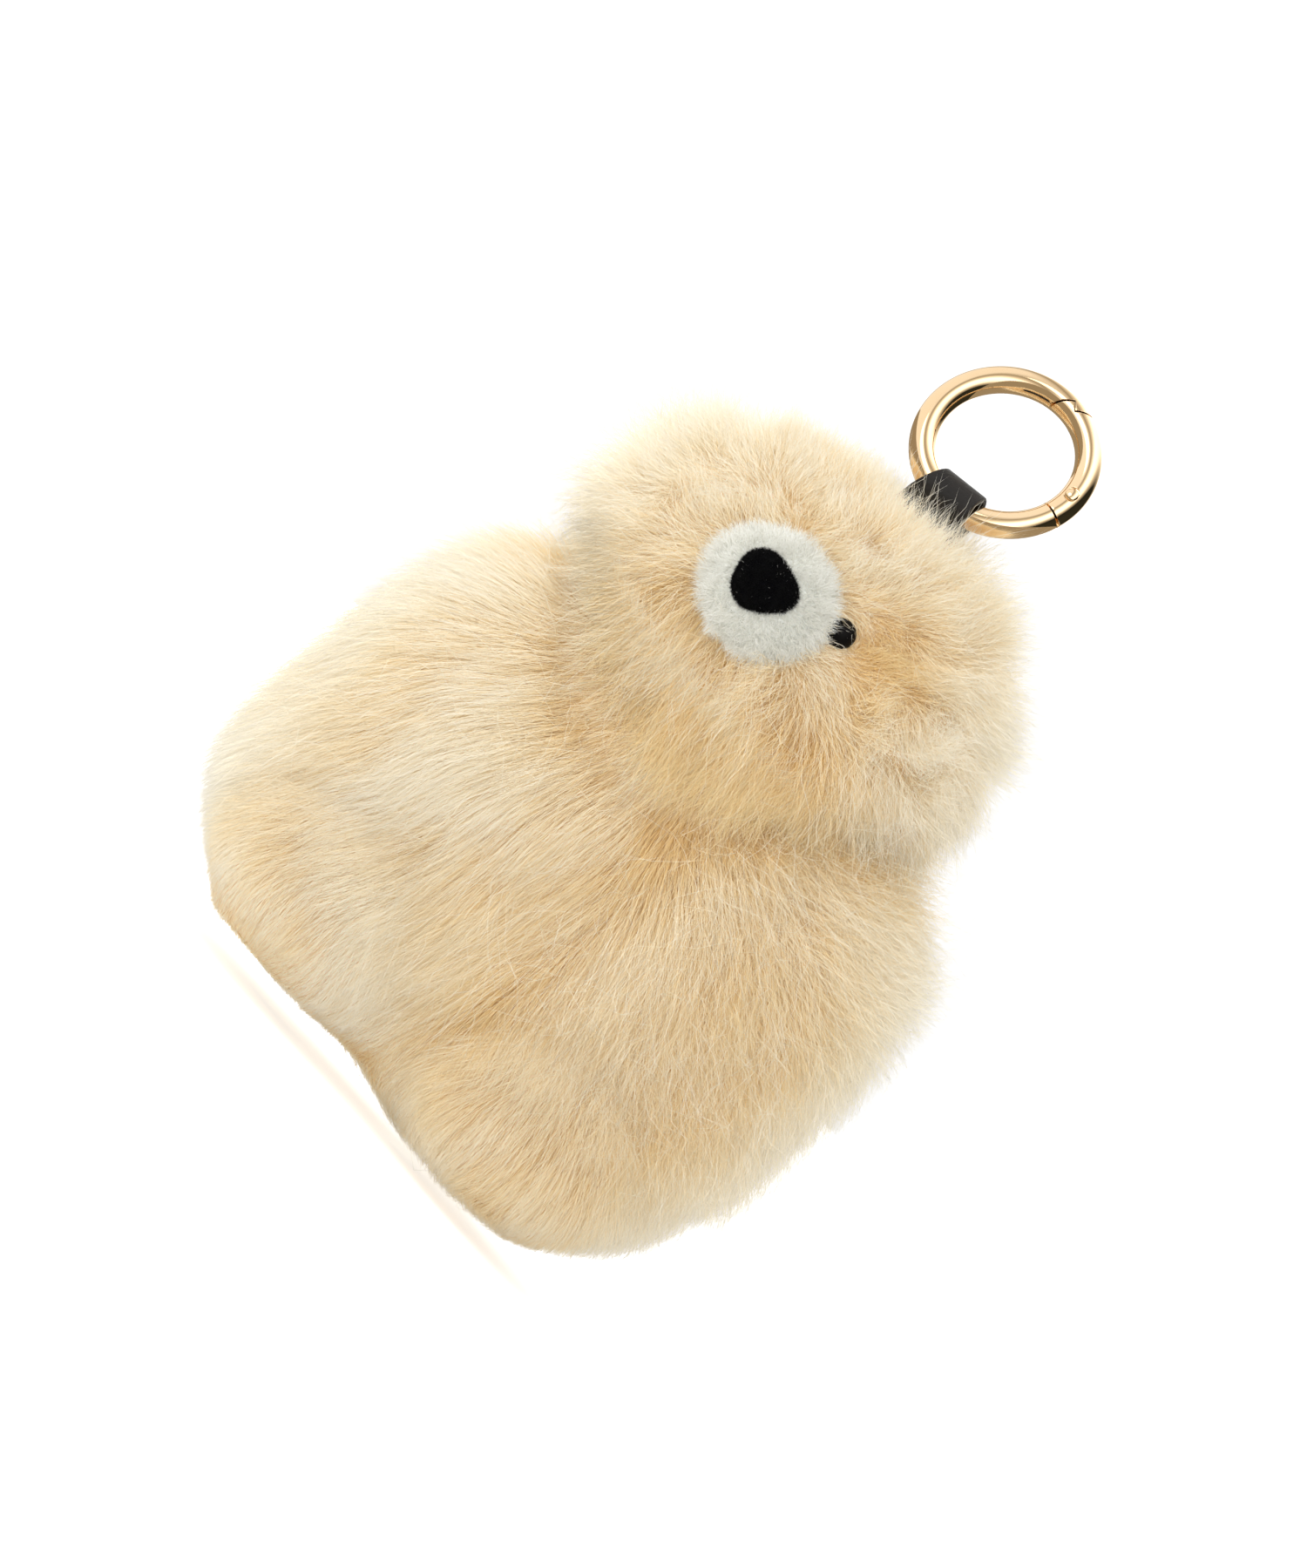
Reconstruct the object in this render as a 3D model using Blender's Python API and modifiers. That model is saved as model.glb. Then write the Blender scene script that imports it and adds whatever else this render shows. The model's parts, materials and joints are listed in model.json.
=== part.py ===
"""Plush keychain: a stuffed long-pile figure hung by a leather strap from a sprung gate ring.

Metres, +Z up, the front faces -Y, and the origin is under the middle of the seat.
"""
import bpy
import bmesh
from math import acos, atan2, cos, pi, radians, sin, sqrt
from mathutils import Matrix, Vector

GAP = 0.0003
HUGE = 0.2

# Body
BODY_CENTRE = Vector((0.0, 0.003, 0.044))
BODY_RADII = Vector((0.0545, 0.030, 0.045))
BODY_SQUARENESS = 3.5
BODY_ROUND = 2.4
BODY_MESH = (32, 16)
FABRIC = 0.003

# Legs
LEG_CENTRE = Vector((0.026, -0.012, 0.014))
LEG_RADII = Vector((0.021, 0.024, 0.018))
LEG_MESH = (24, 12)

# Head
HEAD_CENTRE = Vector((-0.0055, 0.002, 0.1053))
HEAD_RADII = Vector((0.040, 0.033, 0.030))
HEAD_YAW = radians(-15.4)
HEAD_MESH = (28, 14)
DISH_MESH = (24, 12)
NECK_GAP = 0.0025
NECK_THREAD_R = 0.0005
NECK_SHARE = 0.4

# Face, in the head's own frame
MUZZLE_CENTRE = Vector((0.0, -0.030, 0.0028))
MUZZLE_RADII = Vector((0.0128, 0.0115, 0.0115))
MUZZLE_MESH = (24, 12)
MUZZLE_FABRIC = 0.002
NOSE_HALF_WIDTH = 0.0061
NOSE_HALF_HEIGHT = 0.0054
NOSE_LIFT = 0.0012
NOSE_FELT = 0.0015
NOSE_LOBE = 0.09
EYE_SIDE = 0.0131
EYE_LIFT = 0.0074
EYE_R = 0.0026
SHANK_R = 0.0010
WASHER_R = 0.0038
WASHER_T = 0.0012
WASHER_ROOM = 0.0014
HOLE_SIDES = 16
TURNED_STEPS = 20

# Ring
RING_CENTRE = Vector((-0.005, 0.0075, 0.1584))
RING_R = 0.015
WIRE_R = 0.0025
RING_TILT = radians(27.0)
TILT_AXIS_ANGLE = radians(41.0)
STRAP_AT = radians(-125.5)
PIVOT_AT = radians(-34.0)
SEAM_AT = radians(-52.2)
LATCH_AT = radians(40.2)
LATCH_STEP = 0.0011
SEAM_GAP = 0.00045
CUT_SPREAD = radians(20.0)
TONGUE_T = 0.0016
TONGUE_REACH = 0.0016
TONGUE_HALF_WIDTH = 0.0012
TONGUE_ROOT = radians(12.0)
SLOT_REACH = 0.0023
PIN_R = 0.00075
PIN_CLEARANCE = 0.00008
RIVET_HEAD_R = 0.00125
RIVET_SEAT = 0.0022
RIVET_DOME = 0.0005
RIVET_DOME_ANGLES = (0.0, 0.5, 1.0, 1.4)
BORE_CHORD = 0.0072
BORE_R = 0.00105
BORE_END = 0.0078
PLUNGER_R = 0.00085
PLUNGER_END = 0.0043
SPRING_R = 0.00072
SPRING_WIRE_R = 0.00014
SPRING_TURNS = 4

# Strap
LEATHER = 0.0011
LOOP_R = 0.0037
STRAP_HALF = 0.0043
STRAP_FLARE_LEFT = 0.55
STRAP_FLARE_RIGHT = 0.12
PINCH_Z = -0.0066
BEND_Z = -0.0086
BEND_ROOM = 0.0009
TAIL_LENGTH = 0.010
TAIL_HALF = 0.0070
SLOT_HALF_WIDTH = 0.0115
SLOT_HALF_DEPTH = 0.0027
STITCH_R = 0.00035
STITCH_HALF = 0.0030

PLUSH = (0.90, 0.74, 0.52)
WHITE_PILE = (0.86, 0.88, 0.85)
BLACK_FELT = (0.012, 0.012, 0.014)
GOLD = (0.90, 0.68, 0.38)
STEEL = (0.62, 0.62, 0.60)
LEATHER_BROWN = (0.035, 0.026, 0.022)
FILL_WHITE = (0.85, 0.84, 0.80)
THREAD = (0.75, 0.62, 0.45)
BLACK_BEAD = (0.008, 0.008, 0.010)
CLEAR_PLASTIC = (0.55, 0.55, 0.52)


def clear_scene():
    for obj in list(bpy.data.objects):
        bpy.data.objects.remove(obj)


def new_collection(name):
    group = bpy.data.collections.new(name)
    bpy.context.scene.collection.children.link(group)
    return group


def new_material(name, colour, roughness, metallic=0.0):
    material = bpy.data.materials.new(name)
    material.use_nodes = True
    shader = material.node_tree.nodes["Principled BSDF"]
    shader.inputs["Base Color"].default_value = (*colour, 1.0)
    shader.inputs["Roughness"].default_value = roughness
    shader.inputs["Metallic"].default_value = metallic
    return material


def adopt(obj, name, group, parent=None):
    """Names an object, moves it to a collection and hangs it on its parent."""
    obj.name = name
    obj.data.name = name
    for old in list(obj.users_collection):
        old.objects.unlink(obj)
    group.objects.link(obj)
    obj.parent = parent
    return obj


def piece(obj, name, material, parent=None):
    adopt(obj, name, PARTS, parent)
    obj.data.materials.clear()
    obj.data.materials.append(material)
    return obj


def cutter(obj, name, parent=None):
    adopt(obj, name, CUTTERS, parent)
    obj.hide_render = True
    obj.display_type = "WIRE"
    return obj


def frame_empty(name, matrix, parent=None):
    empty = bpy.data.objects.new(name, None)
    PARTS.objects.link(empty)
    empty.parent = parent
    empty.matrix_basis = matrix
    return empty


def boolean(obj, other, operation="DIFFERENCE"):
    step = obj.modifiers.new(operation.title(), "BOOLEAN")
    step.operation = operation
    step.object = other
    step.solver = "EXACT"
    return obj


def sphere(segments, rings):
    bpy.ops.mesh.primitive_uv_sphere_add(segments=segments, ring_count=rings, radius=1.0)
    obj = bpy.context.object
    obj.data.shade_smooth()
    return obj


def ellipsoid(radii, centre, fineness):
    obj = sphere(*fineness)
    obj.data.transform(Matrix.Translation(centre) @ Matrix.Diagonal((*radii, 1.0)))
    return obj


def box(centre, half):
    bpy.ops.mesh.primitive_cube_add(size=2.0)
    obj = bpy.context.object
    obj.data.transform(Matrix.Translation(centre) @ Matrix.Diagonal((*half, 1.0)))
    return obj


def cylinder(radius, low, high, sides=24):
    """A cylinder along +Z from low to high."""
    bpy.ops.mesh.primitive_cylinder_add(vertices=sides, radius=radius, depth=high - low)
    obj = bpy.context.object
    obj.data.transform(Matrix.Translation((0, 0, (low + high) / 2)))
    return obj


def prism(outline, half_depth):
    """A flat outline in the XY plane, given depth along Z."""
    mesh = bpy.data.meshes.new("prism")
    shape = bmesh.new()
    corners = [shape.verts.new((x, y, -half_depth)) for x, y in outline]
    face = shape.faces.new(corners)
    raised = bmesh.ops.extrude_face_region(shape, geom=[face])["geom"]
    moved = [item for item in raised if isinstance(item, bmesh.types.BMVert)]
    bmesh.ops.translate(shape, verts=moved, vec=(0, 0, 2 * half_depth))
    bmesh.ops.recalc_face_normals(shape, faces=shape.faces)
    shape.to_mesh(mesh)
    shape.free()
    obj = bpy.data.objects.new("prism", mesh)
    bpy.context.scene.collection.objects.link(obj)
    return obj


def lathe(profile, steps, hollow=False):
    """A turned shape about Z. Its profile starts and ends on the axis, or closes on itself if hollow."""
    mesh = bpy.data.meshes.new("lathe")
    edges = [(i, i + 1) for i in range(len(profile) - 1)]
    if hollow:
        edges.append((len(profile) - 1, 0))
    mesh.from_pydata([(r, 0, z) for r, z in profile], edges, [])
    obj = bpy.data.objects.new("lathe", mesh)
    bpy.context.scene.collection.objects.link(obj)
    turn = obj.modifiers.new("Screw", "SCREW")
    turn.steps = steps
    turn.render_steps = steps
    turn.use_merge_vertices = True
    turn.merge_threshold = 0.000002
    return obj


def arc(centre, radius, start, end, steps):
    """Points of an arc from one angle to another, both included."""
    turn = (end - start) / steps
    angles = [start + turn * i for i in range(steps + 1)]
    return [(centre[0] + radius * cos(a), centre[1] + radius * sin(a)) for a in angles]


def superellipsoid(centre, radii, fineness):
    """A sphere whose points are pushed out along their rays to a squarer form."""
    obj = sphere(*fineness)
    for vertex in obj.data.vertices:
        ray = Vector([vertex.co[i] * radii[i] for i in range(3)])
        across = (abs(ray.x / radii.x) ** BODY_ROUND + abs(ray.y / radii.y) ** BODY_ROUND) ** (1 / BODY_ROUND)
        reach = (across ** BODY_SQUARENESS + abs(ray.z / radii.z) ** BODY_SQUARENESS) ** (1 / BODY_SQUARENESS)
        vertex.co = centre + ray / reach
    return obj


def inset(radii, amount):
    return Vector([r - amount for r in radii])


def below(height, name):
    """A cutter that fills everything under a height."""
    return cutter(box((0, 0, height - HUGE), (HUGE, HUGE, HUGE)), name)


def head_form(amount, fineness=HEAD_MESH):
    """The head's outer form, drawn in by an amount, in the head's own frame."""
    return ellipsoid(inset(HEAD_RADII, amount), (0, 0, 0), fineness)


def body_form(amount, name):
    """The body's outer form drawn in by an amount: a squared ellipsoid, dished for the head, flat beneath."""
    form = superellipsoid(BODY_CENTRE, inset(BODY_RADII, amount), BODY_MESH)
    dish = cutter(head_form(-NECK_GAP - amount, DISH_MESH), name + "_dish", HEAD)
    boolean(form, dish)
    boolean(form, below(amount, name + "_floor"))
    return form


def build_body():
    fabric = new_material("body_fabric", PLUSH, 0.95)
    fill = new_material("body_fill", FILL_WHITE, 0.9)
    hollow = cutter(body_form(FABRIC, "body_hollow"), "body_hollow")
    halves = (("body_skin_front", 1), ("body_skin_back", -1))
    for name, side in halves:
        skin = piece(body_form(0, name), name, fabric)
        boolean(skin, hollow)
        away = Vector((0, BODY_CENTRE.y + side * (HUGE - GAP / 2), 0))
        boolean(skin, cutter(box(away, (HUGE, HUGE, HUGE)), name + "_half"))
    piece(body_form(FABRIC + GAP, "body_stuffing"), "body_stuffing", fill)


def leg_form(amount, side):
    centre = Vector((side * LEG_CENTRE.x, LEG_CENTRE.y, LEG_CENTRE.z))
    return ellipsoid(inset(LEG_RADII, amount), centre, LEG_MESH)


def build_legs():
    """Each leg is a cup of fabric, open where it is sewn to the body, and filled."""
    fabric = new_material("leg_fabric", PLUSH, 0.95)
    fill = new_material("leg_fill", FILL_WHITE, 0.9)
    ground = below(0, "leg_ground")
    inner_ground = below(FABRIC, "leg_inner_ground")
    fill_ground = below(FABRIC + GAP, "leg_fill_ground")
    body = cutter(body_form(-GAP, "leg_body"), "leg_body")
    body_and_gap = cutter(body_form(-2 * GAP, "leg_body_gap"), "leg_body_gap")
    for word, side in (("left", -1), ("right", 1)):
        hollow = cutter(leg_form(FABRIC, side), "leg_hollow_" + word)
        boolean(hollow, inner_ground)
        skin = piece(leg_form(0, side), "leg_skin_" + word, fabric)
        boolean(skin, body)
        boolean(skin, ground)
        boolean(skin, hollow)
        filling = piece(leg_form(FABRIC + GAP, side), "leg_stuffing_" + word, fill)
        boolean(filling, body_and_gap)
        boolean(filling, fill_ground)


def eye_frame(side):
    """A frame on the head's surface with +Z along the outward normal."""
    a, b, c = HEAD_RADII
    x = side * EYE_SIDE
    y = -b * sqrt(1 - (x / a) ** 2 - (EYE_LIFT / c) ** 2)
    normal = Vector((x / a ** 2, y / b ** 2, EYE_LIFT / c ** 2)).normalized()
    turn = normal.to_track_quat("Z", "Y").to_matrix().to_4x4()
    return Matrix.Translation((x, y, EYE_LIFT)) @ turn


def build_head():
    fabric = new_material("head_fabric", PLUSH, 0.95)
    fill = new_material("head_fill", FILL_WHITE, 0.9)
    hollow = cutter(head_form(FABRIC), "head_hollow", HEAD)
    slot_centre = (0, 0, BEND_Z - TAIL_LENGTH / 2 + BEND_ROOM)
    slot_half = (SLOT_HALF_WIDTH, SLOT_HALF_DEPTH, TAIL_LENGTH / 2 + 3 * BEND_ROOM)
    slot = cutter(box(slot_centre, slot_half), "strap_slot", STRAP)
    skins = []
    for name, side in (("head_skin_front", 1), ("head_skin_back", -1)):
        skin = piece(head_form(0), name, fabric, HEAD)
        boolean(skin, hollow)
        away = (0, side * (HUGE - GAP / 2), 0)
        boolean(skin, cutter(box(away, (HUGE, HUGE, HUGE)), name + "_half", HEAD))
        boolean(skin, slot)
        skins.append(skin)
    stuffing = piece(head_form(FABRIC + GAP), "head_stuffing", fill, HEAD)
    boolean(stuffing, slot)
    build_eyes(skins[0], stuffing)


def build_eyes(skin, stuffing):
    """Safety eyes: a domed bead with a shank through the fabric and a washer behind it."""
    bead = new_material("eye_bead", BLACK_BEAD, 0.12)
    plastic = new_material("eye_washer", CLEAR_PLASTIC, 0.4)
    inside = -FABRIC - WASHER_ROOM
    shank_end = inside - WASHER_T - GAP
    dome = arc((0, GAP), EYE_R, pi / 2, 0, 8)
    dome[0] = (0, GAP + EYE_R)
    profile = dome + [(SHANK_R, GAP), (SHANK_R, shank_end), (0, shank_end)]
    hole_r = SHANK_R + GAP
    ring = [(hole_r, inside - WASHER_T), (hole_r, inside), (WASHER_R, inside), (WASHER_R, inside - WASHER_T)]
    for word, side in (("left", -1), ("right", 1)):
        place = eye_frame(side)
        eye = piece(lathe(profile, TURNED_STEPS), "eye_" + word, bead, HEAD)
        eye.matrix_basis = place
        washer = piece(lathe(ring, TURNED_STEPS, True), "eye_washer_" + word, plastic, HEAD)
        washer.matrix_basis = place
        hole = cutter(cylinder(hole_r, -2 * FABRIC, FABRIC, HOLE_SIDES), "eye_hole_" + word, HEAD)
        hole.matrix_basis = place
        boolean(skin, hole)
        room_low = shank_end - GAP
        room = cutter(cylinder(WASHER_R + GAP, room_low, FABRIC, HOLE_SIDES), "eye_room_" + word, HEAD)
        room.matrix_basis = place
        boolean(stuffing, room)


def muzzle_form(amount):
    return ellipsoid(inset(MUZZLE_RADII, amount), MUZZLE_CENTRE, MUZZLE_MESH)


def nose_outline():
    """A rounded triangle with its point down, by a three-lobed radius rule."""
    points = []
    count = 30
    for i in range(count):
        angle = 2 * pi * i / count
        reach = 1 - NOSE_LOBE * sin(3 * angle)
        points.append((NOSE_HALF_WIDTH * reach * cos(angle), NOSE_HALF_HEIGHT * reach * sin(angle)))
    return points


def build_face():
    """The muzzle is a domed pad on the front of the head, and the nose is felt laid on the pad."""
    pile = new_material("muzzle_pile", WHITE_PILE, 0.95)
    fill = new_material("muzzle_fill", FILL_WHITE, 0.9)
    felt = new_material("nose_felt", BLACK_FELT, 0.9)
    head = cutter(head_form(-GAP), "muzzle_head", HEAD)
    head_and_gap = cutter(head_form(-2 * GAP), "muzzle_head_gap", HEAD)
    patch = piece(muzzle_form(0), "muzzle_patch", pile, HEAD)
    boolean(patch, head)
    boolean(patch, cutter(muzzle_form(MUZZLE_FABRIC), "muzzle_hollow", HEAD))
    filling = piece(muzzle_form(MUZZLE_FABRIC + GAP), "muzzle_stuffing", fill, HEAD)
    boolean(filling, head_and_gap)
    for word, side in (("left", -1), ("right", 1)):
        room = cutter(cylinder(EYE_R + GAP, -FABRIC, 2 * EYE_R, HOLE_SIDES), "muzzle_eye_room_" + word, HEAD)
        room.matrix_basis = eye_frame(side)
        boolean(patch, room)
        boolean(filling, room)

    # The outline's block runs from inside the pad to well in front of it.
    nose = piece(prism(nose_outline(), MUZZLE_RADII.y), "nose_felt", felt, HEAD)
    block = MUZZLE_CENTRE + Vector((0, -3 * MUZZLE_RADII.y / 2, NOSE_LIFT))
    nose.matrix_basis = Matrix.Translation(block) @ Matrix.Rotation(pi / 2, 4, "X")
    boolean(nose, cutter(muzzle_form(-GAP - NOSE_FELT), "nose_top", HEAD), "INTERSECT")
    boolean(nose, cutter(muzzle_form(-GAP), "nose_under", HEAD))


def build_neck_thread():
    """The thread drawn round the neck, in the hollow between head and body."""
    material = new_material("neck_thread", THREAD, 0.85)
    share = NECK_SHARE
    drop = (HEAD_RADII.z + NECK_GAP / 2) * sqrt(1 - share ** 2)
    curve = bpy.data.curves.new("neck_thread", "CURVE")
    curve.dimensions = "3D"
    curve.bevel_depth = NECK_THREAD_R
    curve.bevel_resolution = 1
    count = 32
    line = curve.splines.new("POLY")
    line.points.add(count - 1)
    line.use_cyclic_u = True
    for i, point in enumerate(line.points):
        angle = 2 * pi * i / count
        x = (HEAD_RADII.x + NECK_GAP / 2) * share * cos(angle)
        y = (HEAD_RADII.y + NECK_GAP / 2) * share * sin(angle)
        point.co = (x, y, -drop, 1)
    obj = bpy.data.objects.new("neck_thread", curve)
    bpy.context.scene.collection.objects.link(obj)
    piece(obj, "neck_thread", material, HEAD)


def strap_half_widths(z):
    """Left and right half-widths of the strap, which widens below the wire it hangs on."""
    fall = max(0.0, -z)
    return STRAP_HALF + STRAP_FLARE_LEFT * fall, STRAP_HALF + STRAP_FLARE_RIGHT * fall


def strap_path():
    """The strap's middle line, in its own YZ plane, up the front, over the wire and down the back."""
    middle_r = LOOP_R + LEATHER / 2
    side = (LEATHER + GAP) / 2
    pinch = (-side, PINCH_Z)
    reach = sqrt(pinch[0] ** 2 + pinch[1] ** 2)
    touch = atan2(pinch[1], pinch[0]) + 2 * pi - acos(middle_r / reach)
    bottom = BEND_Z + BEND_ROOM
    over = arc((0, 0), middle_r, touch, pi - touch, 16)
    front = [(-side, bottom), pinch]
    back = [(side, PINCH_Z), (side, bottom)]
    return front + over + back


def build_strap():
    leather = new_material("leather", LEATHER_BROWN, 0.55)
    thread = new_material("strap_thread", THREAD, 0.85)
    mesh = bpy.data.meshes.new("strap_loop")
    shape = bmesh.new()
    rows = []
    for y, z in strap_path():
        left, right = strap_half_widths(z)
        rows.append([shape.verts.new((-left, y, z)), shape.verts.new((right, y, z))])
    for low, high in zip(rows, rows[1:]):
        shape.faces.new((low[0], low[1], high[1], high[0]))
    shape.to_mesh(mesh)
    shape.free()
    mesh.shade_smooth()
    loop = bpy.data.objects.new("strap_loop", mesh)
    bpy.context.scene.collection.objects.link(loop)
    piece(loop, "strap_loop", leather, STRAP)
    thick = loop.modifiers.new("Solidify", "SOLIDIFY")
    thick.thickness = LEATHER
    thick.offset = 0

    top = BEND_Z - BEND_ROOM
    half = (TAIL_HALF, LEATHER + GAP / 2, TAIL_LENGTH / 2 - BEND_ROOM)
    tail = piece(box((0, 0, top - half[2]), half), "strap_tail", leather, STRAP)
    middle = top - half[2]
    for word, x in (("left", -STITCH_HALF), ("right", STITCH_HALF)):
        hole = cutter(cylinder(STITCH_R + GAP, -FABRIC, FABRIC, 12), "stitch_hole_" + word, STRAP)
        hole.matrix_basis = Matrix.Translation((x, 0, middle)) @ Matrix.Rotation(pi / 2, 4, "X")
        boolean(tail, hole)
    stitch = thread_loop(STITCH_HALF, half[1] + GAP + STITCH_R)
    piece(stitch, "strap_stitch", thread, STRAP)
    stitch.matrix_basis = Matrix.Translation((0, 0, middle))


def thread_loop(half_width, half_depth):
    """A closed thread: through the tail, along its back, out again and along its front."""
    curve = bpy.data.curves.new("strap_stitch", "CURVE")
    curve.dimensions = "3D"
    curve.bevel_depth = STITCH_R
    curve.bevel_resolution = 1
    line = curve.splines.new("POLY")
    bend = 2 * STITCH_R
    corners = []
    quarter = pi / 2
    for i, (sx, sy) in enumerate(((1, 1), (-1, 1), (-1, -1), (1, -1))):
        centre = (sx * (half_width - bend), sy * (half_depth - bend))
        corners += arc(centre, bend, i * quarter, (i + 1) * quarter, 4)
    line.points.add(len(corners) - 1)
    line.use_cyclic_u = True
    for point, (x, y) in zip(line.points, corners):
        point.co = (x, y, 0, 1)
    obj = bpy.data.objects.new("strap_stitch", curve)
    bpy.context.scene.collection.objects.link(obj)
    return obj


def ring_point(angle, radius=RING_R):
    return Vector((radius * cos(angle), radius * sin(angle)))


def gate_outline(room):
    """The gate's share of the ring's plane, grown at both ends by the room left for the joint lines."""
    pivot = ring_point(PIVOT_AT)
    tip = ring_point(LATCH_AT) - pivot
    tip_angle = atan2(tip.y, tip.x)
    long_reach = tip.length + LATCH_STEP + room
    short_reach = tip.length - LATCH_STEP + room
    inner = RING_R - 2 * WIRE_R
    outer = RING_R + 2 * WIRE_R
    tail = SEAM_AT - (SEAM_GAP if room else 0) / RING_R
    step = room / 2 / long_reach
    start = [tuple(ring_point(tail, outer / cos(CUT_SPREAD / 2)))]
    outside = arc((0, 0), outer, tail + CUT_SPREAD / 2, LATCH_AT - CUT_SPREAD, 8)
    nose = arc(pivot, short_reach, tip_angle - CUT_SPREAD, tip_angle - step, 6)
    hook = arc(pivot, long_reach, tip_angle - step, tip_angle + CUT_SPREAD, 6)
    inside = arc((0, 0), inner, LATCH_AT + CUT_SPREAD / 2, tail, 16)
    return start + outside + nose + hook + inside


def ring_torus():
    bpy.ops.mesh.primitive_torus_add(
        major_radius=RING_R, minor_radius=WIRE_R, major_segments=60, minor_segments=14)
    obj = bpy.context.object
    obj.data.shade_smooth()
    return obj


def bore_frame():
    """The gate bore's frame: origin at the pivot, +Z along the chord of the gate's wire."""
    pivot = ring_point(PIVOT_AT)
    target = ring_point(PIVOT_AT + BORE_CHORD / RING_R)
    along = Vector((*(target - pivot), 0)).normalized()
    turn = along.to_track_quat("Z", "Y").to_matrix().to_4x4()
    return Matrix.Translation((*pivot, 0)) @ turn, along


def tongue_outline(along):
    """The tongue reaches from the ring body past the pivot and ends square to the gate's bore."""
    pivot = ring_point(PIVOT_AT)
    heading = Vector((along.x, along.y))
    across = Vector((-heading.y, heading.x))
    half = TONGUE_HALF_WIDTH
    root = SEAM_AT - TONGUE_ROOT
    end_low = pivot + heading * TONGUE_REACH - across * half
    end_high = pivot + heading * TONGUE_REACH + across * half
    inside = arc((0, 0), RING_R - WIRE_R - GAP, PIVOT_AT, root, 4)
    outside = arc((0, 0), RING_R + WIRE_R + GAP, root, PIVOT_AT, 4)
    return [tuple(end_low), tuple(end_high)] + inside + outside


def build_ring():
    gold = new_material("ring_gold", GOLD, 0.15, 1.0)
    steel = new_material("ring_steel", STEEL, 0.35, 1.0)
    bore_place, along = bore_frame()
    pivot_place = Matrix.Translation((*ring_point(PIVOT_AT), 0))

    body = piece(ring_torus(), "ring_body", gold, RING)
    boolean(body, cutter(prism(gate_outline(GAP), 2 * WIRE_R), "gate_room", RING))
    tongue = cutter(prism(tongue_outline(along), TONGUE_T / 2), "tongue", RING)
    boolean(tongue, cutter(ring_torus(), "tongue_torus", RING), "INTERSECT")
    boolean(body, tongue, "UNION")
    eye = cutter(cylinder(PIN_R + PIN_CLEARANCE, -WIRE_R, WIRE_R), "tongue_hole", RING)
    eye.matrix_basis = pivot_place
    boolean(body, eye)

    # The gate and what it carries hang on the hinge's own frame.
    from_pivot = pivot_place.inverted()
    gate = ring_torus()
    gate.data.transform(from_pivot)
    piece(gate, "ring_gate", gold, GATE)
    share = prism(gate_outline(0), 2 * WIRE_R)
    share.data.transform(from_pivot)
    boolean(gate, cutter(share, "gate_share", GATE), "INTERSECT")
    bore_local = from_pivot @ bore_place
    slot_half = Vector((2 * WIRE_R, TONGUE_T / 2 + GAP, 2 * WIRE_R))
    slot = cutter(box((0, 0, SLOT_REACH - slot_half.z), slot_half), "gate_slot", GATE)
    slot.matrix_basis = bore_across(bore_local)
    boolean(gate, slot)
    bore = cutter(cylinder(BORE_R, 0, BORE_END, HOLE_SIDES), "gate_bore", GATE)
    bore.matrix_basis = bore_local
    boolean(gate, bore)
    pin_hole = cutter(cylinder(PIN_R + PIN_CLEARANCE, -2 * WIRE_R, 2 * WIRE_R), "gate_hole", GATE)
    boolean(gate, pin_hole)
    for word, sign in (("front", 1), ("back", -1)):
        low, high = sorted((sign * RIVET_SEAT, sign * 2 * WIRE_R))
        seat = cutter(cylinder(RIVET_HEAD_R + GAP / 2, low, high), "rivet_seat_" + word, GATE)
        boolean(gate, seat)
    build_gate_fittings(gold, steel, bore_local)


def bore_across(bore_local):
    """The bore's frame turned about its own length until its Y lies along the ring's axis."""
    along = bore_local.to_3x3() @ Vector((0, 0, 1))
    side = Vector((0, 0, 1))
    across = side.cross(along)
    turn = Matrix((across, side, along)).transposed().to_4x4()
    return Matrix.Translation(bore_local.translation) @ turn


def build_gate_fittings(gold, steel, bore_local):
    """The rivet, the plunger that bears on the tongue, and the spring behind the plunger."""
    seat = RIVET_SEAT + GAP / 2
    rise = [(RIVET_HEAD_R * sin(a), seat + RIVET_DOME * cos(a)) for a in RIVET_DOME_ANGLES]
    top = rise + [(RIVET_HEAD_R, seat), (PIN_R, seat)]
    bottom = [(r, -z) for r, z in reversed(top)]
    rivet = piece(lathe(top + bottom, 24), "gate_rivet", gold, GATE)
    rivet.data.shade_smooth()

    start = TONGUE_REACH + GAP
    edge = GAP / 2
    outline = [(0, PLUNGER_END), (PLUNGER_R - edge, PLUNGER_END), (PLUNGER_R, PLUNGER_END - edge)]
    outline += [(PLUNGER_R, start + edge), (PLUNGER_R - edge, start), (0, start)]
    plunger = piece(lathe(outline, TURNED_STEPS), "gate_plunger", steel, GATE)
    plunger.matrix_basis = bore_local

    curve = bpy.data.curves.new("gate_spring", "CURVE")
    curve.dimensions = "3D"
    curve.bevel_depth = SPRING_WIRE_R
    curve.bevel_resolution = 1
    curve.use_fill_caps = True
    line = curve.splines.new("POLY")
    per_turn = 12
    count = SPRING_TURNS * per_turn
    line.points.add(count)
    low = PLUNGER_END + SPRING_WIRE_R + GAP
    high = BORE_END - SPRING_WIRE_R - GAP
    for i, point in enumerate(line.points):
        angle = 2 * pi * i / per_turn
        point.co = (SPRING_R * cos(angle), SPRING_R * sin(angle), low + (high - low) * i / count, 1)
    spring = bpy.data.objects.new("gate_spring", curve)
    bpy.context.scene.collection.objects.link(spring)
    piece(spring, "gate_spring", steel, GATE)
    spring.matrix_basis = bore_local


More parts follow.
